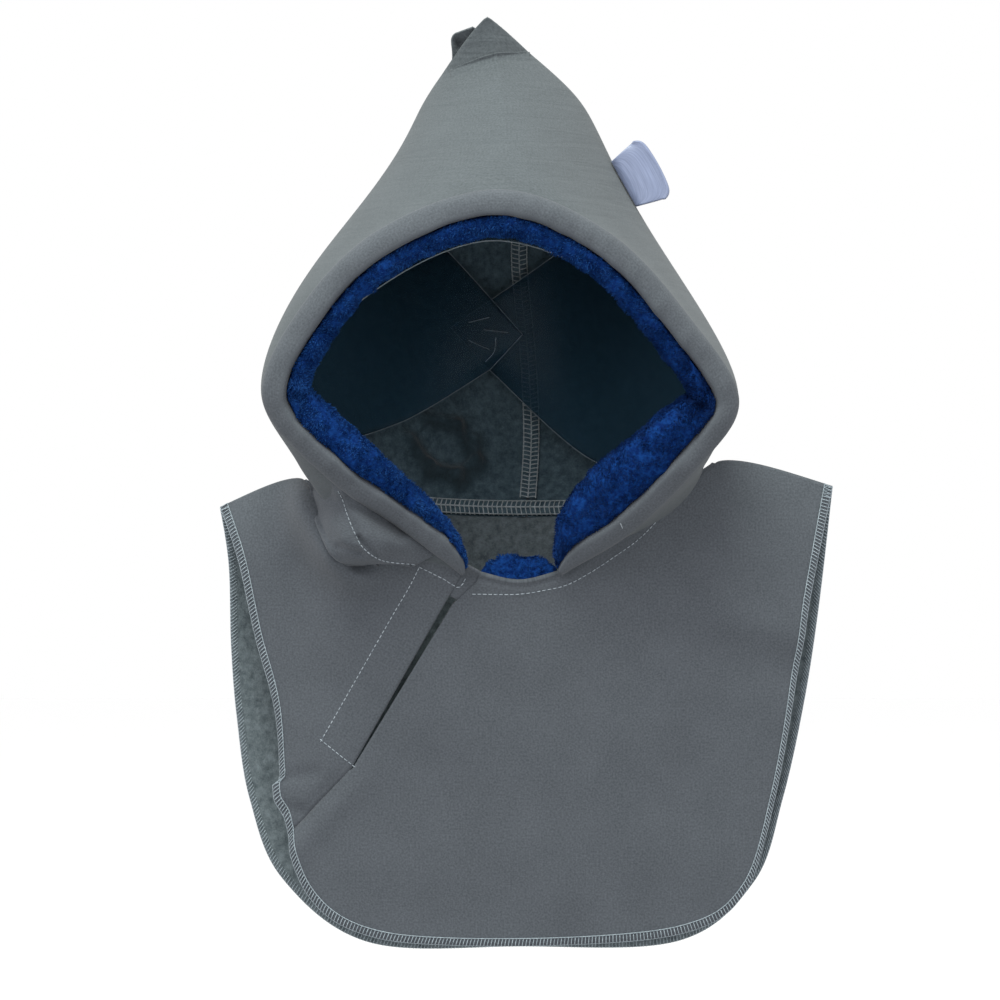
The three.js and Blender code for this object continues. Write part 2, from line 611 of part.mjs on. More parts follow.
// The side tab: a ribbon folded into a flat loop and caught along the right of the hood. It
// starts on the cloth along a line from tabFrom to tabTo, given as [girth, run].
const tabFrom = [0.6225, 0.58];
const tabTo = [0.656, 0.5];
const tabOut = new THREE.Vector3(0.866, 0, 0.5);
const tabSide = new THREE.Vector3(0, 1, 0);
const tabSteps = 6;
const tabGrid = (thickness) => Array.from({ length: tabSteps + 1 }, (_, k) => {
  const share = k / tabSteps;
  const [girth, run] = [0, 1].map((c) => tabFrom[c] + (tabTo[c] - tabFrom[c]) * share);
  const { here, normal } = insideFrame(girth, run);
  const root = here.clone().addScaledVector(normal, sewingGap * 2);
  const reach = tabReach * (1 - 0.12 * (2 * share - 1) ** 2);
  const fold = [[0, 1], [0.5, 1.3], [0.86, 1], [1, 0], [0.86, -1], [0.5, -1.3], [0, -1]];
  return fold.map(([out, side]) => root.clone()
    .addScaledVector(tabOut, out * (reach + thickness))
    .addScaledVector(tabSide, side * (tabOpening / 2 + thickness)));
});
addPiece('side_tab', wallGeometry(tabGrid(tabThickness), tabGrid(0), { last: true }), satin);

export default group;
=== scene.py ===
# %% [markdown]
# # A child's softshell hood with a plush edge
#
# The hood is a pull-on one: a pointed softshell hood sewn to a bib that covers chest and back.
# A thick blue plush shows round the face, and a bent clear sheet inside keeps the empty hood
# open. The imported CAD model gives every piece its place. Here each piece is made again as a
# fine surface, from the same tables of sizes, with the folds, stitches and pile that cloth has.

import bpy
import numpy as np
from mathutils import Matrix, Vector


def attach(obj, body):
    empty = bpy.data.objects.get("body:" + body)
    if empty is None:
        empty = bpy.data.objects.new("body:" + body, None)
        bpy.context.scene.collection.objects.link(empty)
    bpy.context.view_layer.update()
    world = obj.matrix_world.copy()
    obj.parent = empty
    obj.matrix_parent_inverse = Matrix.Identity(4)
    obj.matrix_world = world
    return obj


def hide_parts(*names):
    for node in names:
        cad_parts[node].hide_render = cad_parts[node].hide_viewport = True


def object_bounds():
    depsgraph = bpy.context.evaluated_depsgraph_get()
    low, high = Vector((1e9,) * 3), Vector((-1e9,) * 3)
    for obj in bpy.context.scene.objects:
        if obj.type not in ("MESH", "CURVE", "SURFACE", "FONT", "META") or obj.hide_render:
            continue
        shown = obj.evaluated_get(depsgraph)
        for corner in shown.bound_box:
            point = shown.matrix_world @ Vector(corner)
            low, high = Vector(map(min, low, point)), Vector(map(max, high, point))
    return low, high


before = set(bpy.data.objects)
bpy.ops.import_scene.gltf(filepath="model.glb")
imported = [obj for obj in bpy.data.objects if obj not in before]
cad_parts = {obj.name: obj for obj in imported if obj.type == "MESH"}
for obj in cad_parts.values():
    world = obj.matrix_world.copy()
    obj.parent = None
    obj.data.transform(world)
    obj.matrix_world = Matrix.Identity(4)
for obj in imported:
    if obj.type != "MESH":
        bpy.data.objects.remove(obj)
cad_box = [list(corner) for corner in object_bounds()]
MM = 0.001
print("CAD box in mm:", [[round(c / MM) for c in corner] for corner in cad_box])

# %% [markdown]
# ## Camera, light and floor
#
# The hood was photographed straight on from about two metres, in front of plain white, in soft
# light that comes mostly from above. A wide white sky gives the even light, and one large lamp
# overhead makes the top of the hood lighter than the bib. The floor lies well below the hood,
# because the hood is held up by its head.

# %% Camera
CAMERA_DISTANCE = 2.0
FRAME_WIDTH = 0.55
FRAME_CENTRE = -0.17875
SENSOR = 36.0

camera = bpy.data.objects.new("camera", bpy.data.cameras.new("camera"))
bpy.context.scene.collection.objects.link(camera)
camera.location = (0, -CAMERA_DISTANCE, FRAME_CENTRE)
camera.rotation_euler = (np.pi / 2, 0, 0)
camera.data.sensor_width = SENSOR
camera.data.lens = SENSOR * CAMERA_DISTANCE / FRAME_WIDTH
bpy.context.scene.camera = camera
bpy.context.scene.view_settings.view_transform = "Standard"
print(f"lens: {camera.data.lens:.0f} mm")


# %% Lamps, sky and floor
def lamp(name, place, aim, size, watts, colour):
    """A square lamp at place, turned to shine at aim."""
    light = bpy.data.lights.new(name, "AREA")
    light.size = size
    light.energy = watts
    light.color = colour
    holder = bpy.data.objects.new(name, light)
    bpy.context.scene.collection.objects.link(holder)
    holder.location = place
    away = holder.location.copy()
    for k in range(3):
        away[k] -= aim[k]
    holder.rotation_euler = away.to_track_quat("Z", "Y").to_euler()


lamp("overhead", (-0.25, -0.8, 1.65), (0, 0, 0), 1.2, 40, (0.94, 1.0, 0.9))
lamp("front_left", (-0.8, -2.1, 1.3), (0, 0, -0.2), 1.5, 12, (1, 1, 1))

# The sky is white above the horizon and dim below it, so less light comes from underneath.
sky = bpy.data.worlds.new("studio")
sky.use_nodes = True
sky_nodes = sky.node_tree.nodes
place = sky_nodes.new("ShaderNodeTexCoord")
parts = sky_nodes.new("ShaderNodeSeparateXYZ")
height = sky_nodes.new("ShaderNodeMapRange")
for socket, value in {"From Min": -0.4, "From Max": -0.09, "To Min": 0.66, "To Max": 1.0}.items():
    height.inputs[socket].default_value = value
sky.node_tree.links.new(place.outputs["Generated"], parts.inputs["Vector"])
sky.node_tree.links.new(parts.outputs["Z"], height.inputs["Value"])
sky.node_tree.links.new(height.outputs["Result"], sky_nodes["Background"].inputs["Strength"])
sky_nodes["Background"].inputs["Color"].default_value = (1, 1, 1, 1)
bpy.context.scene.world = sky

# The paper is seen by the camera, but it doesn't light the cloth from below.
FLOOR_DROP = 0.35
FLOOR_REACH = 9
floor_mesh = bpy.data.meshes.new("floor")
low = cad_box[0][2] - FLOOR_DROP
square = ((-1, -1), (1, -1), (1, 1), (-1, 1))
floor_mesh.from_pydata([(x * FLOOR_REACH, y * FLOOR_REACH, low) for x, y in square], [], [(0, 1, 2, 3)])
floor = bpy.data.objects.new("floor", floor_mesh)
bpy.context.scene.collection.objects.link(floor)
paper = bpy.data.materials.new("white paper sweep")
paper.use_nodes = True
paper.node_tree.nodes["Principled BSDF"].inputs["Base Color"].default_value = (0.99, 0.99, 0.99, 1)
paper.node_tree.nodes["Principled BSDF"].inputs["Roughness"].default_value = 1.0
floor_mesh.materials.append(paper)
floor.visible_diffuse = False

# %% [markdown]
# ## Tables and surfaces
#
# Every shape here is a function of two numbers between 0 and 1, read on a grid. The sizes that
# change along the cloth stand in short tables, and a smooth curve is drawn through each column.


# %% Reading a table
def table(names, rows):
    """The columns of a table by name."""
    return dict(zip(names, np.array(rows, float).T))


def column(rows, name, at):
    """Catmull-Rom curve through one column, with at from 0 (first row) to 1 (last row)."""
    values = rows[name]
    last = len(values) - 1
    place = np.clip(at, 0, 1) * last
    row = np.minimum(place.astype(int), last - 1)
    share = place - row
    before, here, after, beyond = (values[np.clip(row + k, 0, last)] for k in (-1, 0, 1, 2))
    square = share * share
    cube = square * share
    return (
        here * (2 * cube - 3 * square + 1)
        + (after - before) / 2 * (cube - 2 * square + share)
        + after * (3 * square - 2 * cube)
        + (beyond - here) / 2 * (cube - square)
    )


def bump(distance, spread):
    """1 in the middle, dying away smoothly at the spread."""
    return np.exp(-((distance / spread) ** 2))


def fold_height(folds, x, z):
    """Sum of the folds at places in metres: each is a bump across its line, faded past its ends."""
    x, z = x / MM, z / MM
    total = np.zeros_like(x)
    for k in range(len(folds["x1"])):
        fold = {name: values[k] for name, values in folds.items()}
        dx, dz = fold["x2"] - fold["x1"], fold["z2"] - fold["z1"]
        along = ((x - fold["x1"]) * dx + (z - fold["z1"]) * dz) / (dx * dx + dz * dz)
        nearest = np.clip(along, 0, 1)
        away = np.hypot(x - fold["x1"] - nearest * dx, z - fold["z1"] - nearest * dz)
        total += fold["height"] * bump(away, fold["width"])
    return total * MM


def unit(vectors):
    """Vectors of length 1 along the last axis."""
    return vectors / np.maximum(np.linalg.norm(vectors, axis=-1, keepdims=True), 1e-12)


def steps(count):
    """Evenly spaced numbers from 0 to 1, both ends included."""
    return np.linspace(0, 1, count + 1)


# %% [markdown]
# ## From arrays to meshes
#
# A cloth piece starts as one or more grids of points. Grids that share an edge are welded, each
# corner gets a normal from the faces round it, and a second layer is laid behind the first, with
# a rim along every open edge. The result is closed, as real cloth with a thickness is.


# %% Mesh helpers
def quads_of(columns, rows, first=0, wrap=False):
    """Faces of a grid whose points are numbered row by row; wrap joins the last column to the first."""
    across = np.arange(columns if wrap else columns - 1)
    along = np.arange(rows - 1)
    i, j = (k.ravel() for k in np.meshgrid(across, along, indexing="ij"))
    beside = (i + 1) % columns
    corners = [i * rows + j, beside * rows + j, beside * rows + j + 1, i * rows + j + 1]
    return np.stack(corners, -1) + first


def welded(points, faces):
    """Points that coincide become one, and faces point at what is left."""
    _, kept, again = np.unique(np.round(points, 7), axis=0, return_index=True, return_inverse=True)
    return kept, again.ravel()[faces]


def corner_normals(points, faces):
    """Area-weighted mean of the normals of the faces round each corner."""
    diagonals = [points[faces[:, 2]] - points[faces[:, 0]], points[faces[:, 3]] - points[faces[:, 1]]]
    flat = np.cross(*diagonals)
    total = np.zeros_like(points)
    for k in range(4):
        np.add.at(total, faces[:, k], flat)
    return unit(total)


def facing_camera(points, faces):
    """The faces, turned over if most of them look away from the camera."""
    return faces[:, ::-1] if corner_normals(points, faces)[:, 1].mean() > 0 else faces


def open_edges(faces):
    """Directed edges that only one face has."""
    edges = np.concatenate([faces[:, [k, (k + 1) % 4]] for k in range(4)])
    key = np.sort(edges, 1)
    _, place, count = np.unique(key, axis=0, return_inverse=True, return_counts=True)
    return edges[count[place.ravel()] == 1]


def make(name, points, faces, materials, slots=None, uv=None, values=None):
    """A mesh object from arrays: quads whose last two corners may be one, with a UV and values."""
    one, two, three, four = (points[faces[:, k]] for k in range(4))
    volume = (one * (np.cross(two, three) + np.cross(three, four))).sum()
    if volume < 0:
        faces = faces[:, [1, 0, 3, 2]]
    same = faces[:, 2] == faces[:, 3]
    counts = np.where(same, 3, 4)
    corners = faces.ravel()[np.repeat(~same, 4) | np.tile([True, True, True, False], len(faces))]
    mesh = bpy.data.meshes.new(name)
    mesh.vertices.add(len(points))
    mesh.vertices.foreach_set("co", np.asarray(points, np.float32).ravel())
    mesh.loops.add(len(corners))
    mesh.loops.foreach_set("vertex_index", corners.astype(np.int32))
    mesh.polygons.add(len(faces))
    starts = np.concatenate([[0], np.cumsum(counts)[:-1]])
    mesh.polygons.foreach_set("loop_start", starts.astype(np.int32))
    for material in materials:
        mesh.materials.append(material)
    if slots is not None:
        mesh.polygons.foreach_set("material_index", np.asarray(slots, np.int32))
    if uv is not None:
        layer = mesh.uv_layers.new(name="cloth")
        layer.uv.foreach_set("vector", np.asarray(uv[corners], np.float32).ravel())
    for label, numbers in (values or {}).items():
        layer = mesh.attributes.new(label, "FLOAT", "POINT")
        layer.data.foreach_set("value", np.asarray(numbers, np.float32))
    mesh.update(calc_edges=True)
    mesh.validate()
    mesh.shade_smooth()
    piece = bpy.data.objects.new(name, mesh)
    bpy.context.scene.collection.objects.link(piece)
    print(f"{name}: {len(faces)} faces")
    return piece


def wall(name, points, faces, thickness, materials, uv, values=None):
    """Two layers of cloth and their rim: the face side has slot 0, the back slot 1, the rim 2.

    The thickness is one number, or one for each point."""
    kept, faces = welded(points, faces)
    thickness = np.broadcast_to(thickness, len(points))[kept, None]
    faces = faces[(faces[:, 0] != faces[:, 1]) | (faces[:, 2] != faces[:, 3])]
    points, uv = points[kept], uv[kept]
    normals = corner_normals(points, faces)
    count = len(points)
    edges = open_edges(faces)
    rim = np.stack([edges[:, 1], edges[:, 0], edges[:, 0] + count, edges[:, 1] + count], -1)
    both = np.concatenate([faces, faces[:, ::-1] + count, rim])
    slots = np.repeat([0, 1, 2], [len(faces), len(faces), len(rim)])
    return make(
        name,
        np.concatenate([points, points - normals * thickness]),
        both,
        materials,
        slots,
        np.concatenate([uv, uv]),
        {key: np.tile(numbers[kept], 2) for key, numbers in (values or {}).items()},
    )


def arc_lengths(grid):
    """UV in metres: running lengths along the middle of the grid, across and along."""
    middle = grid.shape[1] // 2
    across = np.linalg.norm(np.diff(grid[:, middle], axis=0), axis=-1)
    along = np.linalg.norm(np.diff(grid, axis=1), axis=-1)
    u = np.concatenate([[0], np.cumsum(across)])[:, None] + np.zeros(grid.shape[:2])
    v = np.concatenate([np.zeros((len(grid), 1)), np.cumsum(along, 1)], 1)
    return np.stack([u, v], -1)


NOISE_WAVES = 24


def noise(points, size, seed):
    """Smooth noise of spread 1 in space: many sine waves of about the given size."""
    rng = np.random.default_rng(seed)
    waves = rng.normal(size=(3, NOISE_WAVES)) * 2 * np.pi / size
    return np.sin(points @ waves + rng.uniform(0, 7, NOISE_WAVES)).sum(-1) / np.sqrt(NOISE_WAVES / 2)


def rings_mesh(rings):
    """Points and faces of a row of closed rings, with a fan over each end."""
    count, sides = rings.shape[:2]
    here = np.arange(sides)
    beside = (here + 1) % sides
    row = sides * np.arange(count - 1)[:, None]
    quads = np.stack(np.broadcast_arrays(row + here, row + beside, row + sides + beside,
                                         row + sides + here), -1).reshape(-1, 4)
    middles = np.full(sides, count * sides)
    start = np.stack([beside, here, middles, middles], -1)
    last = sides * (count - 1)
    end = np.stack([here + last, beside + last, middles + 1, middles + 1], -1)
    points = np.concatenate([rings.reshape(-1, 3), rings[[0, -1]].mean(1)])
    return points, np.concatenate([quads, start, end])


def tube(path, sides, radius, up):
    """A round thread along a path: a ring across the path at every point, then a fan at each end."""
    along = unit(np.gradient(path, axis=0))
    side = unit(np.cross(along, up))
    over = np.cross(along, side)
    turn = 2 * np.pi * np.arange(sides)[:, None] / sides
    rings = side[:, None] * np.cos(turn) + over[:, None] * np.sin(turn)
    return rings_mesh(path[:, None] + rings * radius)


def resampled(every, path, *vectors):
    """The path and the vectors that go with it, at even distances along the path."""
    lengths = np.concatenate([[0], np.cumsum(np.linalg.norm(np.diff(path, axis=0), axis=-1))])
    at = np.linspace(0, lengths[-1], max(2, round(lengths[-1] / every) + 1))
    return [np.stack([np.interp(at, lengths, field[:, k]) for k in range(3)], -1)
            for field in (path, *vectors)]


def joined(parts):
    """One set of points and faces from many."""
    shift = np.cumsum([0] + [len(points) for points, _ in parts[:-1]])
    points = np.concatenate([points for points, _ in parts])
    return points, np.concatenate([faces + start for (_, faces), start in zip(parts, shift)])


# %% [markdown]
# ## Finishes
#
# Each finish is a small network on the Principled shader. The cloth patterns read the UV of
# the piece, which is in metres along the cloth, so a knit rib has its real width and turns with
# the cloth. Colours are the sRGB values that a painter would pick.


# %% Material helpers
def linear(hex_colour):
    """A #rrggbb colour in the linear numbers that Blender's sockets take, fully opaque."""
    parts = np.array([int(hex_colour[k : k + 2], 16) for k in (1, 3, 5)]) / 255
    parts = np.where(parts > 0.04045, ((parts + 0.055) / 1.055) ** 2.4, parts / 12.92)
    return (*parts.tolist(), 1.0)


def material(name, roughness, **settings):
    """A material with its Principled shader; settings are that shader's sockets."""
    made = bpy.data.materials.new(name)
    made.use_nodes = True
    shader = made.node_tree.nodes["Principled BSDF"]
    shader.inputs["Roughness"].default_value = roughness
    for socket, value in settings.items():
        shader.inputs[socket.replace("_", " ")].default_value = value
    print(f"material: {name}")
    return made, shader


def node(made, kind, links=(), stops=(), **settings):
    """Adds a node. Settings are its properties or sockets, links are (socket, source) pairs, and
    stops are the places and hex colours of a colour ramp."""
    new = made.node_tree.nodes.new(kind)
    for key, value in settings.items():
        if hasattr(new, key):
            setattr(new, key, value)
        else:
            new.inputs[key.replace("_", " ")].default_value = value
    for socket, source in links:
        made.node_tree.links.new(source, new.inputs[socket])
    for k, (place, colour) in enumerate(stops):
        elements = new.color_ramp.elements
        element = elements[k] if k < len(elements) else elements.new(place)
        element.position = place
        element.color = linear(colour)
    return new


def join(made, shader, socket, source):
    """Links one output to a socket of the shader."""
    made.node_tree.links.new(source, shader.inputs[socket])


def cloth_place(made, per_metre):
    """The piece's UV, in units of a pattern that repeats per_metre times, across and along."""
    uv = node(made, "ShaderNodeUVMap", uv_map="cloth")
    links = [("Vector", uv.outputs["UV"])]
    return node(made, "ShaderNodeMapping", links, Scale=(*per_metre, 1)).outputs["Vector"]


def stacked_bump(made, shader, layers):
    """Heights laid on each other: each layer is (height output, distance in metres, strength)."""
    normal = None
    for height, distance, strength in layers:
        links = [("Height", height)] + ([("Normal", normal)] if normal else [])
        last = node(made, "ShaderNodeBump", links, Distance=distance, Strength=strength)
        normal = last.outputs["Normal"]
    join(made, shader, "Normal", normal)


# %% Softshell
# A polyester knit face bonded to fleece: matt, with fine ribs that run up the cloth. The real
# wales are about 0.45 mm apart, too fine to show, so every second one is drawn.
# Each pattern's scale is how often it repeats in a metre.
RIBS = (1100, 90)
KNIT_GRAIN = (900, 900)
BLOTCHES = 45
CREASES = (14, 6, 120)
CREASE_LEAN = (0, 0.05, 0)


def softshell(name, light, dark, wrinkles):
    """The tone is the grain of the knit with some of the ribs and of large faint blotches. The
    wrinkles, if there are any, are a third bump: a noise drawn out along the cloth."""
    made, shader = material(name, 0.9, Sheen_Weight=0.08, Sheen_Roughness=0.6, Specular_IOR_Level=0.2)
    ribs = node(made, "ShaderNodeTexNoise", [("Vector", cloth_place(made, RIBS))], Scale=1, Detail=2)
    grain = node(made, "ShaderNodeTexNoise", [("Vector", cloth_place(made, KNIT_GRAIN))], Scale=1)
    place = node(made, "ShaderNodeTexCoord").outputs["Object"]
    blotches = node(made, "ShaderNodeTexNoise", [("Vector", place)], Scale=BLOTCHES, Detail=4,
                    Roughness=0.65)
    knit = node(made, "ShaderNodeMix", [("A", ribs.outputs["Fac"]), ("B", grain.outputs["Fac"])],
                Factor=0.85)
    tone = node(made, "ShaderNodeMix", [("A", knit.outputs[0]), ("B", blotches.outputs["Fac"])],
                Factor=0.2)
    tones = node(made, "ShaderNodeValToRGB", [("Fac", tone.outputs[0])], [(0.34, dark), (0.66, light)])
    join(made, shader, "Base Color", tones.outputs["Color"])
    layers = [(ribs.outputs["Fac"], 0.0002, 0.18), (grain.outputs["Fac"], 0.00015, 0.3)]
    if wrinkles:
        stretched = node(made, "ShaderNodeMapping", [("Vector", place)], Scale=CREASES,
                         Rotation=CREASE_LEAN)
        creases = node(made, "ShaderNodeTexNoise", [("Vector", stretched.outputs[0])], Scale=1,
                       Detail=3, Roughness=0.55, Distortion=0.6)
        layers.append((creases.outputs["Fac"], 0.0012, wrinkles))
    stacked_bump(made, shader, layers)
    return made


bib_cloth = softshell("softshell knit", "#5b6067", "#474c52", 0.0)
hood_cloth = softshell("softshell knit, creased", "#5a6065", "#474d51", 0.9)


# %% Brushed fleece
# The back of the softshell is brushed: short tangled fibres, dull and darker than the face. Beside
# a fold it is painted darker still: a painted shadow. The fibres are drawn 0.9 mm apart, coarser
# than real ones, and the tufts 4 mm.
FIBRES = 1100
FIBRE_TUFTS = 240


def brushed_fleece(name, dark, light):
    """Fibres and tufts set the tone, and a piece's painted shadow attribute takes it down to the darkest
    stop.
    """
    made, shader = material(name, 1.0, Sheen_Weight=0.2, Sheen_Roughness=0.5, Specular_IOR_Level=0.05)
    links = [("Vector", node(made, "ShaderNodeTexCoord").outputs["Object"])]
    fibres = node(made, "ShaderNodeTexNoise", links, Scale=FIBRES, Detail=4, Roughness=0.7)
    tufts = node(made, "ShaderNodeTexNoise", links, Scale=FIBRE_TUFTS, Detail=3, Roughness=0.6)
    tone = node(made, "ShaderNodeMix", [("A", fibres.outputs["Fac"]), ("B", tufts.outputs["Fac"])],
                Factor=0.6)
    # Painted shadow: the attribute pulls the tone down towards the darkest stop, a painted shadow colour.
    painted_shadow = node(made, "ShaderNodeAttribute", attribute_name="painted_shadow")
    shaded = node(made, "ShaderNodeMix", [("A", tone.outputs[0]), ("Factor", painted_shadow.outputs["Fac"])], B=0)
    tones = node(made, "ShaderNodeValToRGB", [("Fac", shaded.outputs[0])],
                 [(0.08, "#20282d"), (0.36, dark), (0.64, light)])
    join(made, shader, "Base Color", tones.outputs["Color"])
    stacked_bump(made, shader, [(fibres.outputs["Fac"], 0.0005, 0.6),
                                (tufts.outputs["Fac"], 0.0012, 0.5)])
    return made


fleece = brushed_fleece("brushed fleece", "#3f5059", "#637883")
# A lighter copy of the same fleece for the inside of the bib: painted light, as that side is lit while
# the inside of the hood is in shade.
fleece_painted_lit = brushed_fleece("brushed fleece, in the light", "#545e63", "#7f8a8f")


# %% Plush
# The plush is a knitted backing with dense polyester pile. The backing is drawn in the shadow
# colour, in tufts about 2.4 mm apart, and shows only between the fibres.
BACKING_TUFTS = 420


def plush_backing():
    made, shader = material("plush backing", 1.0, Specular_IOR_Level=0.05)
    place = node(made, "ShaderNodeTexCoord").outputs["Object"]
    tufts = node(made, "ShaderNodeTexNoise", [("Vector", place)], Scale=BACKING_TUFTS, Detail=3,
                 Roughness=0.6)
    tones = node(made, "ShaderNodeValToRGB", [("Fac", tufts.outputs["Fac"])],
                 [(0.35, "#0a2358"), (0.7, "#153f80")])
    join(made, shader, "Base Color", tones.outputs["Color"])
    stacked_bump(made, shader, [(tufts.outputs["Fac"], 0.002, 0.8)])
    return made


# The pile is smooth filament, which shines a little along its length. Each tuft brings a tone of
# its own at random, painted dark at the root and light at the tip: painted shade in the pile.
def plush_pile():
    made, shader = material("plush pile", 0.8, Specular_IOR_Level=0.12)
    tone = node(made, "ShaderNodeAttribute", attribute_name="tone")
    tones = node(made, "ShaderNodeValToRGB", [("Fac", tone.outputs["Fac"])],
                 [(0.0, "#061b47"), (0.5, "#184688"), (1.0, "#2c60a4")])
    join(made, shader, "Base Color", tones.outputs["Color"])
    return made


backing = plush_backing()
pile = plush_pile()


# %% Thread and satin
# Spun polyester thread, bluish white where it lies on top, twisted about once a millimetre.
THREAD_TWIST = 900


def sewing_thread(name, colour, shadow):
    made, shader = material(name, 0.75, Sheen_Weight=0.2)
    place = node(made, "ShaderNodeTexCoord").outputs["Object"]
    twist = node(made, "ShaderNodeTexNoise", [("Vector", place)], Scale=THREAD_TWIST, Detail=1)
    tones = node(made, "ShaderNodeValToRGB", [("Fac", twist.outputs["Fac"])],
                 [(0.3, shadow), (0.7, colour)])
    join(made, shader, "Base Color", tones.outputs["Color"])
    return made


# Satin ribbon: long floats of filament yarn, so its gloss stretches across the ribbon. The yarns
# are drawn 0.7 mm apart, coarser than real ones, and run on for 17 mm.
SATIN_FLOATS = (1400, 60)


def satin_ribbon():
    made, shader = material("satin ribbon", 0.38, Anisotropic=0.6, Specular_IOR_Level=0.6,
                            Sheen_Weight=0.15)
    floats = node(made, "ShaderNodeTexNoise", [("Vector", cloth_place(made, SATIN_FLOATS))], Scale=1,
                  Detail=2)
    tones = node(made, "ShaderNodeValToRGB", [("Fac", floats.outputs["Fac"])],
                 [(0.3, "#6f7996"), (0.7, "#858fae")])
    join(made, shader, "Base Color", tones.outputs["Color"])
    stacked_bump(made, shader, [(floats.outputs["Fac"], 0.0001, 0.25)])
    return made


hem_thread = sewing_thread("hem thread", "#a9b6bf", "#7b8790")
seam_thread = sewing_thread("seam thread", "#ccd4d8", "#9aa5ab")
stitch_thread = sewing_thread("topstitch thread", "#b4bec6", "#808b95")
satin = satin_ribbon()


# %% Clear sheet and staples
def one_colour(name, roughness, colour, **settings):
    """A material of one colour, without a pattern; one that lets light through is blended."""
    made, shader = material(name, roughness, **settings)
    shader.inputs["Base Color"].default_value = linear(colour)
    if "Alpha" in settings:
        made.surface_render_method = "BLENDED"
    return made


# Clear PET sheet, 0.5 mm thick. Its dark blue-grey colour and part opacity are painted shade from the
# hood's inside, with a painted bluish reflection of the plush.
film_painted_shade = one_colour("clear PET sheet", 0.3, "#304f62", IOR=1.57, Alpha=0.62, Specular_IOR_Level=0.12)
# Its cut edges are drawn paler, as they catch the light: a painted glint.
painted_edge_glint = one_colour("cut PET edge", 0.3, "#b9c6cf", IOR=1.57, Alpha=0.45)
# Staples are bright drawn steel wire, a little dulled, so they show as soft grey lines.
wire = one_colour("bright steel wire", 0.45, "#6f777e", Metallic=1.0)

# %% [markdown]
# ## The hood
#
# Thirteen lines run from the face edge to the centre back seam, each a cubic curve: the table
# says where it starts, how it sets off and how it comes round to the seam. Between the lines
# the tables are read smoothly, so the whole hood is one formula.

# %% Sizes of the hood, in metres
HOOD_WIDTH = 0.256
HOOD_DEPTH = 0.190
BRIM_FORWARD = 0.102
NECK_DROP = 0.218
PEAK_RISE = 0.086
PEAK_SPREAD = 0.46
# The tip's crease: how far it lies below the peak, its slant, and how far the tip above it is
# bent forward for each metre of height
CREASE_DROP = 0.0218
CREASE_SLANT = 0.24
PEAK_BEND = 0.9
# Thickness of the cloth, and the room left between pieces that touch
CLOTH = 0.0024
GAP = 0.0003
NECK_GAP = 0.0012
HALF_HOOD = HOOD_WIDTH / 2
HOOD_HEIGHT = NECK_DROP + PEAK_RISE

hood_lines = table(
    "across height back leave_out leave_up leave_back meet_out meet_up lining".split(),
    [
        [-0.16, 0, 0.263, -0.78, 0.2, -0.03, -1.08, 0, 0.12],
        [-0.412, 0.08, 0.21, -0.56, 0.1, 0, -1.05, -0.05, 0.66],
        [-0.716, 0.171, 0.137, -0.323, 0.026, 0.147, -0.93, -0.066, 1.2],
        [-0.973, 0.303, 0.105, -0.089, 0.046, 0.22, -0.877, -0.07, 0.95],
        [-0.82, 0.457, 0.063, -0.051, 0.09, 0.22, -0.51, 0.006, 0.85],
        [-0.49, 0.593, 0.016, 0.285, 0.118, 0.18, -0.396, 0.046, 0.9],
        [0, 0.661, 0, 0.07, 0.095, 0.168, 0, -0.086, 0.95],
        [0.449, 0.586, 0.016, -0.269, 0.118, 0.18, 0.416, 0.046, 0.9],
        [0.78, 0.441, 0.063, -0.116, 0.09, 0.22, 0.538, 0.006, 0.9],
        [0.98, 0.303, 0.105, 0.03, 0.046, 0.22, 0.841, -0.07, 1],
        [0.82, 0.19, 0.126, 0.139, 0.026, 0.147, 0.93, -0.066, 1.7],
        [0.54, 0.072, 0.2, 0.36, 0.12, 0.053, 1.03, -0.05, 1.9],
        [0.258, 0, 0.274, 0.6, 0.16, 0, 1.05, 0, 0.8],
    ],
)
back_seam_line = table(
    "across height back meet_back".split(),
    [
        [0.117, 0.092, 0.853, 0],
        [0.14, 0.24, 0.979, -0.047],
        [0.125, 0.405, 1, -0.07],
        [0.087, 0.569, 0.937, -0.037],
        [0.082, 0.717, 0.821, -0.037],
        [0.01, 0.849, 0.674, -0.03],
        [-0.055, 1, 0.589, -0.09],
    ],
)
PUFF_RUN, PUFF_GIRTH_SPREAD, PUFF_RUN_SPREAD = 0.16, 0.1, 0.13
PUFF_PUSH = np.array([-0.09, -0.02, -0.055]) * [HALF_HOOD, HOOD_DEPTH, HOOD_HEIGHT]


# %% The hood's formula
def hood_place(across, height, back):
    """Shares of the hood's half width, height and depth as a place in metres."""
    return np.stack([across * HALF_HOOD, back * HOOD_DEPTH - BRIM_FORWARD,
                     height * HOOD_HEIGHT - NECK_DROP], -1)


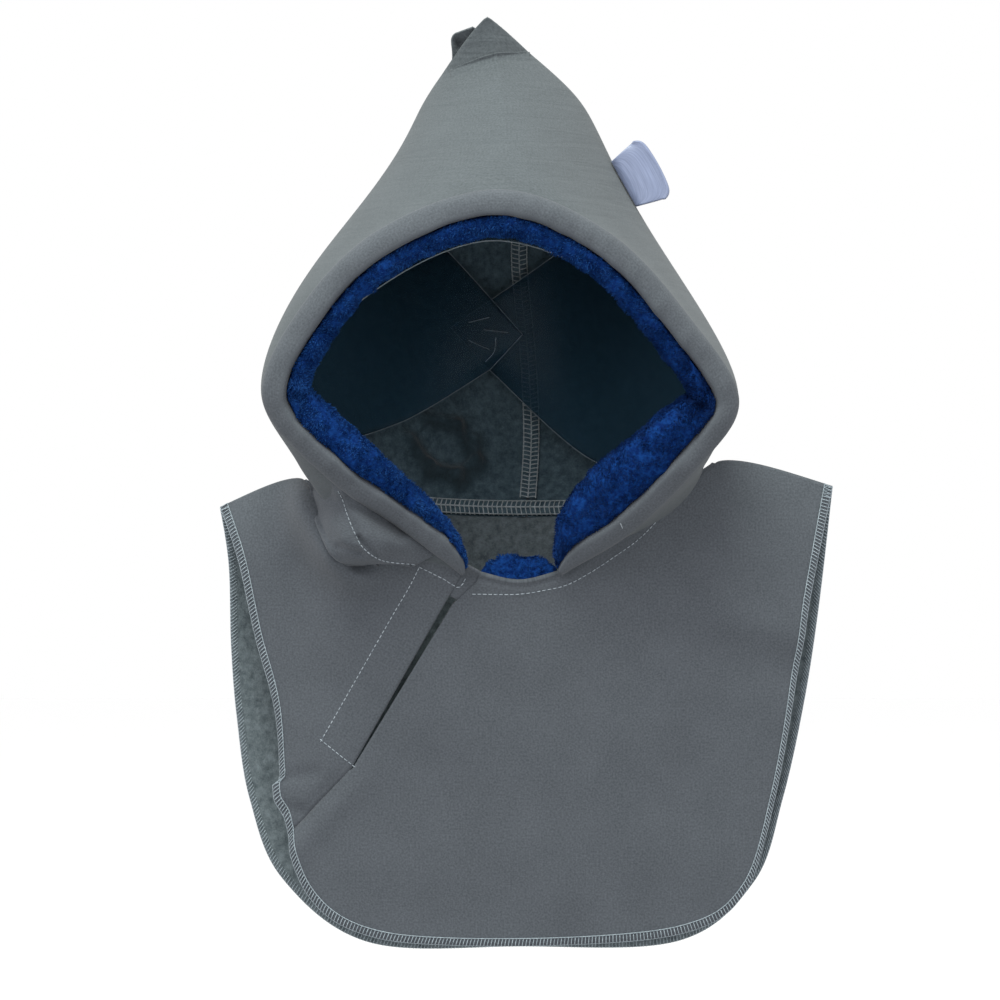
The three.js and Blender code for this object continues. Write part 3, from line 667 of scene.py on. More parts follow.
def hood_point(girth, run):
    """Girth from the left neck point over the ridge to the right one, run from face to back.

    Each girth is a cubic curve from the face edge to the back seam. Near the peak it is widened,
    above the tip's crease it is bent forward, and beside the left neck point it is puffed out."""
    girth, run = np.broadcast_arrays(np.asarray(girth, float), np.asarray(run, float))
    fold = 1 - np.abs(2 * girth - 1)
    face = {name: column(hood_lines, name, girth) for name in hood_lines}
    back = {name: column(back_seam_line, name, fold) for name in back_seam_line}
    start = hood_place(face["across"], face["height"], face["back"])
    leave = hood_place(face["across"] + face["leave_out"], face["height"] + face["leave_up"],
                       face["back"] + face["leave_back"])
    meet = hood_place(back["across"] + face["meet_out"], back["height"] + face["meet_up"],
                      back["back"] + back["meet_back"])
    end = hood_place(back["across"], back["height"], back["back"])
    t = run[..., None]
    point = (start * (1 - t) ** 3 + 3 * leave * t * (1 - t) ** 2
             + 3 * meet * t * t * (1 - t) + end * t**3)
    from_peak = np.hypot(1 - run, 1 - fold)
    opening = np.sqrt(1 - bump(np.maximum(from_peak, 1e-6), PEAK_SPREAD))
    spine = back["across"] * HALF_HOOD
    point[..., 0] = spine + (point[..., 0] - spine) / opening
    above = point[..., 2] - (PEAK_RISE - CREASE_DROP + CREASE_SLANT * point[..., 0])
    point[..., 1] -= PEAK_BEND * np.maximum(0, above)
    much = bump(girth, PUFF_GIRTH_SPREAD) * bump(run - PUFF_RUN, PUFF_RUN_SPREAD)
    return point + (much * np.minimum(1, run / PUFF_RUN))[..., None] * PUFF_PUSH


def grid_of(surface, columns, rows):
    """A surface on an even grid of columns by rows."""
    across, along = np.meshgrid(steps(columns), steps(rows), indexing="ij")
    return surface(across, along)


def normals_of(grid):
    """Unit normals of a grid of points."""
    return unit(np.cross(np.gradient(grid, axis=0), np.gradient(grid, axis=1)))


# %% Hood body
# The fleece inside stands in soft folds low at the back, thicker than the cloth elsewhere. Each
# fold has a painted shadow beside it: a little to the right and below, as the light comes from above.
HOOD_STEPS = (310, 150)
TIP_THINS = 0.022
TIP_LEAST = 0.15
BACK_GROOVE = 0.0012
BACK_GROOVE_SHARE = 0.008
fleece_folds = table(
    "x1 z1 x2 z2 width height".split(),
    [
        [-54.8, -144.6, -44.1, -161.7, 5, 6],
        [-44.1, -161.7, -27, -167.9, 5, 6],
        [-27, -167.9, -15, -159, 5, 5],
        [-15, -157.4, -16, -144, 4, 4],
        [-46.3, -131.8, -27, -136.1, 5, 5],
        [-27, -136.1, -23, -150.3, 4, 6],
    ],
)
PAINTED_FOLD_SHADOW_RIGHT = 0.003
PAINTED_FOLD_SHADOW_DOWN = 0.002
PAINTED_FOLD_SHADOW_FULL = 0.012
PAINTED_FOLD_SHADOW_MOST = 0.42
hood_grid = grid_of(hood_point, *HOOD_STEPS)
thin_tip = np.clip(np.linalg.norm(hood_grid - hood_point(0.5, 1), axis=-1) / TIP_THINS, TIP_LEAST, 1)
seam_groove = BACK_GROOVE * bump((1 - steps(HOOD_STEPS[1]))[None] * thin_tip, BACK_GROOVE_SHARE)
hood_grid -= normals_of(hood_grid) * (seam_groove * (thin_tip >= 1))[..., None]
fleece_here = hood_grid[..., 1] > 0
# Painted shadow of the folds, on the fleece only.
painted_fold_shadow_x, painted_fold_shadow_z = hood_grid[..., 0] - PAINTED_FOLD_SHADOW_RIGHT, hood_grid[..., 2] + PAINTED_FOLD_SHADOW_DOWN
painted_fold_shadow = fleece_here * np.clip(
    fold_height(fleece_folds, painted_fold_shadow_x, painted_fold_shadow_z) / PAINTED_FOLD_SHADOW_FULL, 0, PAINTED_FOLD_SHADOW_MOST)
hood_body = wall(
    "hood_body",
    hood_grid.reshape(-1, 3),
    quads_of(*hood_grid.shape[:2]),
    (CLOTH * thin_tip + fold_height(fleece_folds, hood_grid[..., 0], hood_grid[..., 2])
     * fleece_here).ravel(),
    [hood_cloth, fleece, hood_cloth],
    arc_lengths(hood_grid).reshape(-1, 2),
    {"painted_shadow": painted_fold_shadow.ravel()},
)
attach(hood_body, "root")
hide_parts("hood_shell")


# %% [markdown]
# ## Rolled edge and plush lining
#
# The cloth is rolled over at the face edge, and a thick plush is sewn inside the roll. Both are
# outlines carried along the edge: one direction looks out of the opening, the other away from
# its middle.

# %% Frames along the face edge
BAND_ROLL = 0.009
BAND_TURN = 0.0125
BAND_LIP = 0.0006
LINING_SHOW = 0.013
LINING_RUN = 0.026
LINING_SEAT = 0.0074
LINING_LIP = 0.0015
LINING_STEP = 0.001
FACE_STEPS = 420
END_TAPER = 0.055
END_WIDTH = 0.3

left_neck, face_top, right_neck = hood_point([0, 0.5, 1], 0)
face_foot = (left_neck + right_neck) / 2
fore = unit(np.array([0, face_foot[2] - face_top[2], face_top[1] - face_foot[1]]))


def face_frames(girth):
    """Places on the face edge and the way away from the opening's middle there."""
    reach = 0.0125
    before = hood_point(np.maximum(girth - reach, 0), 0)
    after = hood_point(np.minimum(girth + reach, 1), 0)
    return hood_point(girth, 0), unit(np.cross(fore, after - before))


def carried(girth, forward, out):
    """Rings of an outline, given by its distances forward and out, along the face edge.

    Towards both ends of the edge the outline narrows to a part of its width."""
    place, away = face_frames(girth)
    grown = np.clip(np.minimum(girth, 1 - girth) / END_TAPER, 0, 1)[:, None]
    width = END_WIDTH + (1 - END_WIDTH) * grown * (2 - grown)
    out = BAND_LIP + (out - BAND_LIP) * width
    forward = forward * (1 + width) / 2
    return place[:, None] + forward[..., None] * fore + out[..., None] * away[:, None]


def rounded_box(back, front, low, high, sides, squareness):
    """A superellipse: distances forward and out, with corners as round as squareness says."""
    turn = 2 * np.pi * (np.arange(sides) + 0.5) / sides
    bend = 2 / squareness
    cosine, sine = (np.sign(wave) * np.abs(wave) ** bend for wave in (np.cos(turn), np.sin(turn)))
    return (back + front) / 2 + cosine * (front - back) / 2, (low + high) / 2 + sine * (high - low) / 2


def ring_uv(rings):
    """UV in metres for rings_mesh: along the row and round the ring."""
    around = np.linalg.norm(np.roll(rings, -1, 1) - rings, axis=-1)
    v = np.cumsum(around, 1) - around
    lengths = np.linalg.norm(np.diff(rings.mean(1), axis=0), axis=-1)
    u = np.concatenate([[0], np.cumsum(lengths)])[:, None] + np.zeros_like(v)
    return np.concatenate([np.stack([v, u], -1).reshape(-1, 2), np.zeros((2, 2))])


# %% Face band
# The band leans back towards the hood as it rises: a quarter of an ellipse with a short underside.
BAND_SIDES = 28
BAND_SWELL = 0.0005
BAND_OVERLAP = 0.003
BAND_UNDER = 0.0025

face_girth = steps(FACE_STEPS)
turn = 2 * np.pi * (np.arange(BAND_SIDES) + 0.5) / BAND_SIDES
band_forward = np.cos(turn) * np.where(np.cos(turn) > 0, BAND_ROLL, BAND_OVERLAP)
band_out = np.sin(turn) * np.where(np.sin(turn) > 0, BAND_LIP + BAND_TURN - BAND_UNDER, BAND_UNDER)
band_out += BAND_UNDER - BAND_TURN
band_rings = carried(face_girth, band_forward[None] + 0 * face_girth[:, None],
                     band_out[None] + 0 * face_girth[:, None])
band_middle = band_rings.mean(1, keepdims=True)
swell = BAND_SWELL * noise(band_rings, 0.045, 3) * np.clip(band_forward / BAND_ROLL, 0, 1)
band_rings += unit(band_rings - band_middle) * swell[..., None]
face_band = make("rolled_band", *rings_mesh(band_rings), [bib_cloth], uv=ring_uv(band_rings))
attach(face_band, "root")
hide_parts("face_band")


# %% Plush: the backing
PLUSH_SIDES = 40
PILE_ROOM = 0.0022
PLUSH_SWELL = 0.0006
PLUSH_SWELL_SIZE = 0.022


def smooth_ring(corners, sides):
    """A closed Catmull-Rom curve through the corners of each row of (rows, corners, 2)."""
    count = corners.shape[1]
    place = np.arange(sides) * count / sides
    row = place.astype(int)
    share = (place - row)[None, :, None]
    before, here, after, beyond = (corners[:, (row + k) % count] for k in (-1, 0, 1, 2))
    return 0.5 * (2 * here + (after - before) * share
                  + (2 * before - 5 * here + 4 * after - beyond) * share**2
                  + (3 * here - before - 3 * after + beyond) * share**3)


def plush_outline(girth):
    """The nine corners of the lining's section, forward and out, at each girth."""
    top = -BAND_TURN - 2 * GAP + 0 * girth
    deep = top - (LINING_SHOW * column(hood_lines, "lining", girth) - PILE_ROOM)
    forward = [BAND_ROLL * 0.6, BAND_ROLL * 0.8, BAND_ROLL * 0.35, -LINING_RUN * 0.4,
               -LINING_RUN * 0.9, -LINING_RUN, -LINING_RUN * 0.5, -LINING_LIP, -LINING_LIP]
    out = [top, (top + deep) / 2, deep, deep, (deep - LINING_SEAT) / 2, -LINING_SEAT + 0 * top,
           -LINING_SEAT + 0 * top, -LINING_SEAT - LINING_STEP + 0 * top, top]
    forward = np.array(forward)[None] + 0 * girth[:, None]
    return np.stack([forward, np.stack(out, -1)], -1)


plush_ring = smooth_ring(plush_outline(face_girth), PLUSH_SIDES)
plush_rings = carried(face_girth, plush_ring[..., 0], plush_ring[..., 1])
plush_middle = plush_rings.mean(1, keepdims=True)
plush_swell = noise(plush_rings, PLUSH_SWELL_SIZE, 5)[..., None]
plush_rings += unit(plush_rings - plush_middle) * PLUSH_SWELL * plush_swell
plush_band = make("plush_backing", *rings_mesh(plush_rings), [backing])
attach(plush_band, "root")
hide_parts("plush_band")


# %% Plush: the pile
# Each tuft is a narrow bent strip that leans the way its neighbours do, so the pile swirls.
PILE_LENGTH = 0.0021
PILE_WIDTH = 0.0004
PILE_SINK = 0.0004
LONGER, SHORTER = 1.25, 0.7
SWIRL_SIZE = 0.02
LEAN, LEAN_LOOSE = 0.6, 0.3
BEND, BEND_LOOSE = 0.55, 0.25
LEAST_RISE = 0.1
# Painted shade: each tuft is painted dark at its root, and the tufts low on the right are painted darker.
PAINTED_ROOT_SHADE = [0.15, 0.15, 0.7, 0.7, 1.0]
PAINTED_PILE_SHADE_DARK = 0.75
PAINTED_PILE_SHADE_LEFT, PAINTED_PILE_SHADE_ACROSS = -0.01, 0.05
PAINTED_PILE_SHADE_TOP, PAINTED_PILE_SHADE_DOWN = -0.05, 0.06


def pile_on(name, surface, normals, spots, seed):
    """Tufts on a grid surface at the given (column, row) spots: root, middle and tip of each.

    Low on the right the tufts are painted darker: painted shade."""
    rng = np.random.default_rng(seed)
    low = np.minimum(spots.astype(int), np.array(surface.shape[:2]) - 2)
    share = (spots - low)[..., None]

    def read(grid):
        near, far = (grid[low[:, 0], row] * (1 - share[:, 0]) + grid[low[:, 0] + 1, row] * share[:, 0]
                     for row in (low[:, 1], low[:, 1] + 1))
        return near * (1 - share[:, 1]) + far * share[:, 1]

    root = read(surface)
    up = unit(read(normals))
    swirl = np.stack([noise(root, SWIRL_SIZE, seed + k) for k in range(3)], -1)
    loose = rng.normal(size=root.shape)
    way = unit(up + LEAN * swirl + LEAN_LOOSE * loose)
    tip_way = unit(way + BEND * np.roll(swirl, 1, -1) + BEND_LOOSE * loose[:, ::-1])
    tip_way = unit(tip_way + up * np.maximum(LEAST_RISE - (tip_way * up).sum(-1, keepdims=True), 0))
    length = PILE_LENGTH * rng.uniform(SHORTER, LONGER, (len(root), 1))
    side = unit(np.cross(way, rng.normal(size=root.shape))) * PILE_WIDTH / 2
    start = root - up * PILE_SINK
    middle = start + way * length * 0.5
    tip = middle + tip_way * length * 0.5
    points = np.stack([start - side, start + side, middle + side, middle - side, tip], 1)
    first = 5 * np.arange(len(root))[:, None]
    faces = np.concatenate([first + [0, 1, 2, 3], first + [3, 2, 4, 4]])
    # Painted shade, darker low on the right.
    painted_shade_share = np.clip((root[:, 0] - PAINTED_PILE_SHADE_LEFT) / PAINTED_PILE_SHADE_ACROSS, 0, 1)
    painted_shade_share = painted_shade_share * np.clip((PAINTED_PILE_SHADE_TOP - root[:, 2]) / PAINTED_PILE_SHADE_DOWN, 0, 1)
    tone = rng.uniform(0, 1, (len(root), 1)) * PAINTED_ROOT_SHADE
    tone *= 1 - PAINTED_PILE_SHADE_DARK * painted_shade_share[:, None]
    return make(name, points.reshape(-1, 3), faces, [pile], values={"tone": tone.ravel()})


def spots_in(count, columns, rows, seed):
    """Random places in a range of columns and rows of a grid."""
    rng = np.random.default_rng(seed)
    return np.stack([rng.uniform(*columns, count), rng.uniform(*rows, count)], -1)


# The pile grows only on the sides of the ring that can be seen, the first 22 of its 40.
BAND_TUFTS = 66000
PILE_SIDES = 22
plush_normals = normals_of(plush_rings)
outwards = np.sign(((plush_rings - plush_middle) * plush_normals).sum(-1).mean())
band_pile = pile_on("plush_pile", plush_rings, plush_normals * outwards,
                    spots_in(BAND_TUFTS, (1, FACE_STEPS - 1), (0, PILE_SIDES), 7), 11)
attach(band_pile, "root")

# %% [markdown]
# ## The bib
#
# Two panels hang from the neck line: front and back, joined only at the shoulders. Each is a
# sheet between the neck line and its hem. It stands up beside the neck, then falls. The front
# one has a slanting slit under the left end of the face edge.

# %% Sizes of the bib
BIB_WIDTH = 0.337
BIB_LENGTH = 0.204
BIB_SHIFT = 0.0145
BIB_DEPTH = 0.060
SHOULDER_START = 0.03
EARLY_FALL = 0.6
HUMP_START = 0.08
NECK_CROWDING = 1.5

front_hem_line = table(
    "across drop forward hump reach lift".split(),
    [
        [-1, -0.174, 0, 0, 0.3, 0.06],
        [-0.935, -0.024, 0.17, 0.35, 0.42, 0.03],
        [-0.881, 0.181, 0.22, 0.42, 0.36, 0],
        [-0.816, 0.377, 0.26, 0.2, 0.25, 0],
        [-0.792, 0.621, 0.3, 0, 0.2, 0],
        [-0.715, 0.86, 0.34, 0, 0.2, 0],
        [-0.49, 0.978, 0.37, 0, 0.2, 0],
        [-0.021, 1, 0.4, 0, 0.2, 0],
        [0.5, 0.968, 0.37, 0, 0.2, 0],
        [0.705, 0.86, 0.34, 0, 0.2, 0],
        [0.803, 0.621, 0.3, 0, 0.2, 0],
        [0.866, 0.352, 0.26, 0, 0.2, 0],
        [0.92, 0.083, 0.2, 0, 0.3, 0.03],
        [1, -0.23, 0, 0, 0.3, 0.07],
    ],
)
back_hem_line = table(
    "across drop forward hump reach lift".split(),
    [
        [-1, -0.174, 0, 0, 0.3, 0.06],
        [-0.976, -0.015, -0.16, 0, 0.3, 0.03],
        [-0.97, 0.205, -0.2, 0, 0.3, 0],
        [-0.952, 0.401, -0.22, 0, 0.3, 0],
        [-0.911, 0.621, -0.24, 0, 0.3, 0],
        [-0.804, 0.84, -0.27, 0, 0.3, 0],
        [-0.52, 1.014, -0.28, 0, 0.3, 0],
        [-0.021, 1.026, -0.3, 0, 0.3, 0],
        [0.5, 1.011, -0.28, 0, 0.3, 0],
        [0.75, 0.85, -0.27, 0, 0.3, 0],
        [0.845, 0.621, -0.24, 0, 0.3, 0],
        [0.915, 0.352, -0.21, 0, 0.3, 0],
        [0.963, 0.083, -0.18, 0, 0.3, 0.03],
        [1, -0.23, 0, 0, 0.3, 0.07],
    ],
)


# %% The neck line
def curve_through(points):
    """A centripetal Catmull-Rom curve, read by the share of its length."""
    ends = 2 * points[[0, -1]] - points[[1, -2]]
    knots = np.concatenate([ends[:1], points, ends[1:]])
    gaps = np.sqrt(np.linalg.norm(np.diff(knots, axis=0), axis=-1))

    def at(place):
        place = np.asarray(place) * (len(points) - 1)
        row = np.minimum(place.astype(int), len(points) - 2)
        share = (place - row)[..., None]
        before, here, after, beyond = (knots[row + k] for k in range(4))
        back, gap, ahead = (gaps[row + k][..., None] for k in range(3))
        leave = (here - before) / back - (after - before) / (back + gap) + (after - here) / gap
        meet = (after - here) / gap - (beyond - here) / (gap + ahead) + (beyond - after) / ahead
        leave, meet = leave * gap, meet * gap
        return (here * (2 * share**3 - 3 * share**2 + 1) + leave * (share**3 - 2 * share**2 + share)
                + after * (3 * share**2 - 2 * share**3) + meet * (share**3 - share**2))

    places = steps(LENGTH_STEPS)
    lengths = np.cumsum(np.linalg.norm(np.diff(at(places), axis=0, prepend=at(places[:1])), axis=-1))
    return lambda share: at(np.interp(share, lengths / lengths[-1], places))


def run_at_shoulder(girth):
    """Where the hood's lower edge passes from the front to the back."""
    runs = np.linspace(0.1, 0.95, 2000)
    return np.interp(0, hood_point(girth, runs)[:, 1], runs)


def neck_points(middle):
    """Points round the neck from the left shoulder by the front (0) or back (1) to the right one."""
    left = hood_point(0, np.linspace(run_at_shoulder(0), middle, 12))
    right = hood_point(1, np.linspace(middle, run_at_shoulder(1), 12))
    return np.concatenate([left, right[middle:]])


LENGTH_STEPS = 200
front_way = {"hem": front_hem_line, "side": -1, "neck": curve_through(neck_points(0))}
back_way = {"hem": back_hem_line, "side": 1, "neck": curve_through(neck_points(1))}
neck_middle = front_way["neck"](np.array([0.0, 1.0])).mean(0)


# %% The bib's formula
# The bib lies against the hood at the neck, closer than the solids may.
# Towards the shoulders the bib is sewn higher up on the hood: how far, and over what share.
SEWN = 0.0001
LEFT_CLIMB = np.array([-0.014, 0, 0.014])
RIGHT_CLIMB = np.array([0.014, 0, 0.028])
LEFT_CLIMB_SHARE = 0.2
RIGHT_CLIMB_SHARE = 0.27


def bib_point(way, around, spread):
    """Around from the left shoulder to the right one, spread from the neck line to the hem.

    Seen from the front the way is straight. In depth it sets off early, most in the middle, a
    hump brings it forward near the neck, and towards the shoulders it is lifted."""
    around, spread = np.broadcast_arrays(np.asarray(around, float), np.asarray(spread, float))
    neck = way["neck"](around)
    away = unit((neck - neck_middle) * [1, 0, 1])
    neck = neck + away * SEWN - [0, 0, SEWN]
    left = np.clip(1 - around / LEFT_CLIMB_SHARE, 0, 1)[..., None]
    right = np.clip(1 - (1 - around) / RIGHT_CLIMB_SHARE, 0, 1)[..., None]
    neck = neck + left**1.5 * LEFT_CLIMB + right**[3, 1, 1.15] * RIGHT_CLIMB
    row = {name: column(way["hem"], name, around) for name in way["hem"]}
    hem = np.stack([row["across"] * BIB_WIDTH / 2 + BIB_SHIFT, -row["forward"] * BIB_DEPTH,
                    -NECK_DROP - row["drop"] * BIB_LENGTH], -1)
    point = neck + (hem - neck) * spread[..., None]
    fall = spread**EARLY_FALL
    lean = np.sin(np.pi * around)
    point[..., 1] = neck[..., 1] + (hem[..., 1] - neck[..., 1]) * (spread + (fall - spread) * lean)
    standing = bump(spread - row["reach"] / 2, row["reach"] / 2.4) * np.minimum(1, spread / HUMP_START)
    point[..., 1] -= row["hump"] * BIB_DEPTH * standing
    climb = np.maximum(0, (spread - SHOULDER_START) / (1 - SHOULDER_START))
    point[..., 2] += row["lift"] * BIB_DEPTH * np.sin(np.pi * climb**EARLY_FALL)
    point[..., 1] += way["side"] * GAP / 2
    return point


# %% Folds of the front panel
# Ridges (height above 0) and valleys (below 0) of cloth, each a line from one place to another
# as seen from the front. Places and widths are in millimetres.
folds = table(
    "x1 z1 x2 z2 width height".split(),
    [
        [-101, -172, -84, -206, 9, 3.0],
        [-84, -206, -72, -214, 7, 2.0],
        [-94, -178, -78, -208, 4, -2.0],
        [-86, -203, -70, -212, 3.5, -2.5],
        [-110, -215, -70, -232, 9, -0.8],
        [92, -236, 176, -257, 13, 2.4],
        [90, -250, 170, -275, 14, -1.6],
        [-101, -327, -114, -330, 4, -1.2],
        [-114, -347, -108, -348, 4, -1.5],
        [30, -300, 60, -380, 30, 1.2],
        [-50, -330, -20, -400, 26, -1.2],
        [110, -300, 90, -390, 20, -1.0],
    ],
)


# %% The slit
# The slit runs down to the left from the left neck point. Below its end the cloth is creased
# along the same line, which turns further out.
SLIT_LEAN = np.radians(29.5)
SLIT_MOUTH = 0.0086
SLIT_WIDTH = 0.004
SLIT_END = 0.0006
SLIT_LENGTH = 0.122
CREASE_TURN = 0.253
slit_down = np.array([-np.sin(SLIT_LEAN), -np.cos(SLIT_LEAN)])
slit_aside = np.array([-slit_down[1], slit_down[0]])
slit_top = left_neck[[0, 2]]


def slit_place(x, z):
    """Distances down along the slit and aside from its left edge, of places seen from the front."""
    away = np.stack([x, z], -1) - slit_top
    return away @ slit_down, away @ slit_aside


def slit_edges(down):
    """Where the two edges of the slit stand, aside, at a distance down; below its end they meet."""
    width = np.interp(down, [0, 2 * SLIT_MOUTH, SLIT_LENGTH, SLIT_LENGTH + MM],
                      [SLIT_MOUTH, SLIT_WIDTH, SLIT_END, 0])
    left = -CREASE_TURN * np.maximum(0, down - SLIT_LENGTH)
    return left, left + width


# %% Heights on the front panel
# Small shapes that belong to the slit, the neck seam and the hem, in metres, and as shares of
# the way round or down where a name says share. Below the slit a crease runs on, with a ridge
# on its right.
SLIT_CREASE, SLIT_CREASE_WIDTH = 0.0022, 0.005
RIDGE, RIDGE_WIDTH, RIDGE_ASIDE = 0.0016, 0.008, 0.009
SLIT_CREASE_END, SLIT_CREASE_FADE = 0.2, 0.03
SLIT_CREASE_EARLY, SLIT_CREASE_GROWTH = 0.02, 0.04
BIB_WAVES, BIB_WAVE_SIZE = 0.0005, 0.09
NECK_GROOVE, NECK_GROOVE_SHARE = 0.0014, 0.012
GROOVE_MIDDLE_SHARE, GROOVE_REACH_SHARE = 0.62, 0.3
NECK_FADE_SHARE, SIDE_FADE_SHARE = 0.1, 0.05
CHIN_DIP, CHIN_DIP_MIDDLE, CHIN_DIP_WIDTH, CHIN_DIP_SHARE = 0.0045, 0.011, 0.02, 0.25
# At the left hem the edge buckles outwards over a short height, sharply at its top.
BUCKLE_TOP, BUCKLE_LOW, BUCKLE_REACH = -0.3315, -0.352, 0.0045
BUCKLE_TOP_FADE, BUCKLE_LOW_FADE, BUCKLE_POWER = 0.0012, 0.009, 12


def front_cloth(around, spread):
    """The front panel with its folds: a height along the normal on top of the plain panel."""
    plain = bib_point(front_way, around, spread)
    normals = -normals_of(plain)
    down, aside = slit_place(plain[..., 0], plain[..., 2])
    left, right = slit_edges(down)
    ending = bump(np.maximum(0, down - SLIT_CREASE_END), SLIT_CREASE_FADE)
    crease = bump(aside - (left + right) / 2, SLIT_CREASE_WIDTH) * ending
    below = np.clip((down - SLIT_LENGTH + SLIT_CREASE_EARLY) / SLIT_CREASE_GROWTH, 0, 1)
    ridge = bump(aside - right - RIDGE_ASIDE, RIDGE_WIDTH) * below * ending
    height = fold_height(folds, plain[..., 0], plain[..., 2])
    height += -SLIT_CREASE * crease * below + RIDGE * ridge
    height += BIB_WAVES * noise(plain, BIB_WAVE_SIZE, 21)
    groove = bump(spread, NECK_GROOVE_SHARE)
    height -= NECK_GROOVE * groove
    beside = np.minimum(1, np.minimum(around, 1 - around) / SIDE_FADE_SHARE)
    fade = np.minimum(1, spread / NECK_FADE_SHARE) * beside
    fade = np.maximum(fade, groove * bump(around - GROOVE_MIDDLE_SHARE, GROOVE_REACH_SHARE))
    cloth = plain + normals * (height * fade)[..., None]
    dip = bump(plain[..., 0] - CHIN_DIP_MIDDLE, CHIN_DIP_WIDTH)
    cloth[..., 2] -= CHIN_DIP * dip * bump(spread, CHIN_DIP_SHARE)
    buckle = np.clip((BUCKLE_TOP - plain[..., 2]) / BUCKLE_TOP_FADE, 0, 1)
    buckle = buckle * np.clip((plain[..., 2] - BUCKLE_LOW) / BUCKLE_LOW_FADE, 0, 1)
    cloth[..., 0] -= BUCKLE_REACH * buckle * spread**BUCKLE_POWER * (around < 0.5)
    return cloth


def slit_around(spread, edge):
    """For each spread, the around at which the plain panel meets the left (0) or right (1) edge."""
    around = np.linspace(0.1, 0.75, 600)
    plain = bib_point(front_way, *np.meshgrid(around, spread, indexing="ij"))
    down, aside = slit_place(plain[..., 0], plain[..., 2])
    past = aside - slit_edges(down)[edge]
    return np.array([np.interp(0, past[:, k], around) for k in range(len(spread))])


# %% Front panel
FRONT_COLUMNS = (90, 150)
FRONT_ROWS = 120
EDGE_SHARE = 0.995
SHOULDER_PRESS = 0.06
SHOULDER_THIN = 0.12


def cloth_spread(rows):
    """Rows crowd towards the neck, and the cloth ends just inside the thread of the hem."""
    return steps(rows) ** NECK_CROWDING * EDGE_SHARE


def pressed(around):
    """Thickness of the cloth: thin at the shoulder seams, where both panels are pressed flat."""
    return CLOTH * np.clip(np.minimum(around, 1 - around) / SHOULDER_PRESS, SHOULDER_THIN, 1)


def front_grids():
    """Two grids, left and right of the slit, that share their points below its end."""
    spread = cloth_spread(FRONT_ROWS)
    left_edge, right_edge = (slit_around(spread, edge) for edge in (0, 1))
    left = left_edge[None] * steps(FRONT_COLUMNS[0])[:, None]
    right = right_edge[None] + (1 - right_edge[None]) * steps(FRONT_COLUMNS[1])[:, None]
    return [(front_cloth(around, spread[None] + 0 * around), around) for around in (left, right)]


front_parts, front_arounds = zip(*front_grids())
left_count = front_arounds[0].size
front_faces = [quads_of(*front_parts[0].shape[:2]), quads_of(*front_parts[1].shape[:2], first=left_count)]
front_panel = wall(
    "front_panel",
    np.concatenate([grid.reshape(-1, 3) for grid in front_parts]),
    np.concatenate(front_faces)[:, ::-1],
    pressed(np.concatenate([around.ravel() for around in front_arounds])),
    [bib_cloth, fleece_painted_lit, bib_cloth],
    np.concatenate([grid.reshape(-1, 3)[:, [0, 2]] for grid in front_parts]),
)
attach(front_panel, "root")
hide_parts("bib_front")

# %% Back panel
BACK_STEPS = (200, 90)
across, along = np.meshgrid(steps(BACK_STEPS[0]), cloth_spread(BACK_STEPS[1]), indexing="ij")
back_grid = bib_point(back_way, across, along)
back_panel = wall(
    "back_panel",
    back_grid.reshape(-1, 3),
    quads_of(*back_grid.shape[:2]),
    pressed(across.ravel()),
    [bib_cloth, fleece_painted_lit, bib_cloth],
    arc_lengths(back_grid).reshape(-1, 2),
)
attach(back_panel, "root")
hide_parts("bib_back")


# %% [markdown]
# ## Hems, seams and stitches
#
# The bib's cut edges are overlocked: a thread loops over the edge every 1.9 mm. The same stitch
# holds the seams inside the hood. Topstitches lie on the cloth as short grains of thread.

# %% Thread helpers
THREAD = 0.00027
LOOP_PITCH = 0.0019
# One loop, in millimetres: how far in from the edge and how high above the cloth's middle
overlock_loop = table(
    "inward height".split(),
    [
        [4.3, 1.35],
        [2.9, 1.6],
        [1.3, 1.6],
        [0.1, 1.2],
        [-0.3, 0],
        [0.1, -1.2],
        [1.9, -1.6],
        [4.2, -1.35],
    ],
)
# How far in and how high the two threads lie that run along the loops, in millimetres
RUNNING_THREADS = ((4.3, 1.6), (-0.1, 0.9))


def overlock(name, edge, inward, out, thread, pitch=LOOP_PITCH, radius=THREAD):
    """Thread loops over an edge: one long path that repeats the loop's table, and a line of
    thread that runs along the loops at their inner end and another at their outer end."""
    phases = len(overlock_loop["inward"])
    edge, inward, out = resampled(pitch / phases, edge, inward, out)
    phase = np.arange(len(edge)) % phases
    path = (edge + inward * overlock_loop["inward"][phase, None] * MM
            + out * overlock_loop["height"][phase, None] * MM)
    lines = [edge + inward * away * MM + out * height * MM for away, height in RUNNING_THREADS]
    tubes = [tube(line, 4, radius, out) for line in lines]
    piece = make(name, *joined([tube(path, 4, radius, np.gradient(edge, axis=0))] + tubes), [thread])
    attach(piece, "root")
    return piece


# One grain of thread: thick and raised in the middle, thin and sunk at both ends
grain = table(
    "along size lift".split(),
    [
        [-0.5, 0.25, -0.6],
        [-0.36, 0.85, 0.2],
        [0, 1, 0.7],
        [0.36, 0.85, 0.2],
        [0.5, 0.25, -0.6],
    ],
)
STITCH_PITCH = 0.0029
STITCH_LENGTH = 0.0023
STITCH_RADIUS = 0.00025


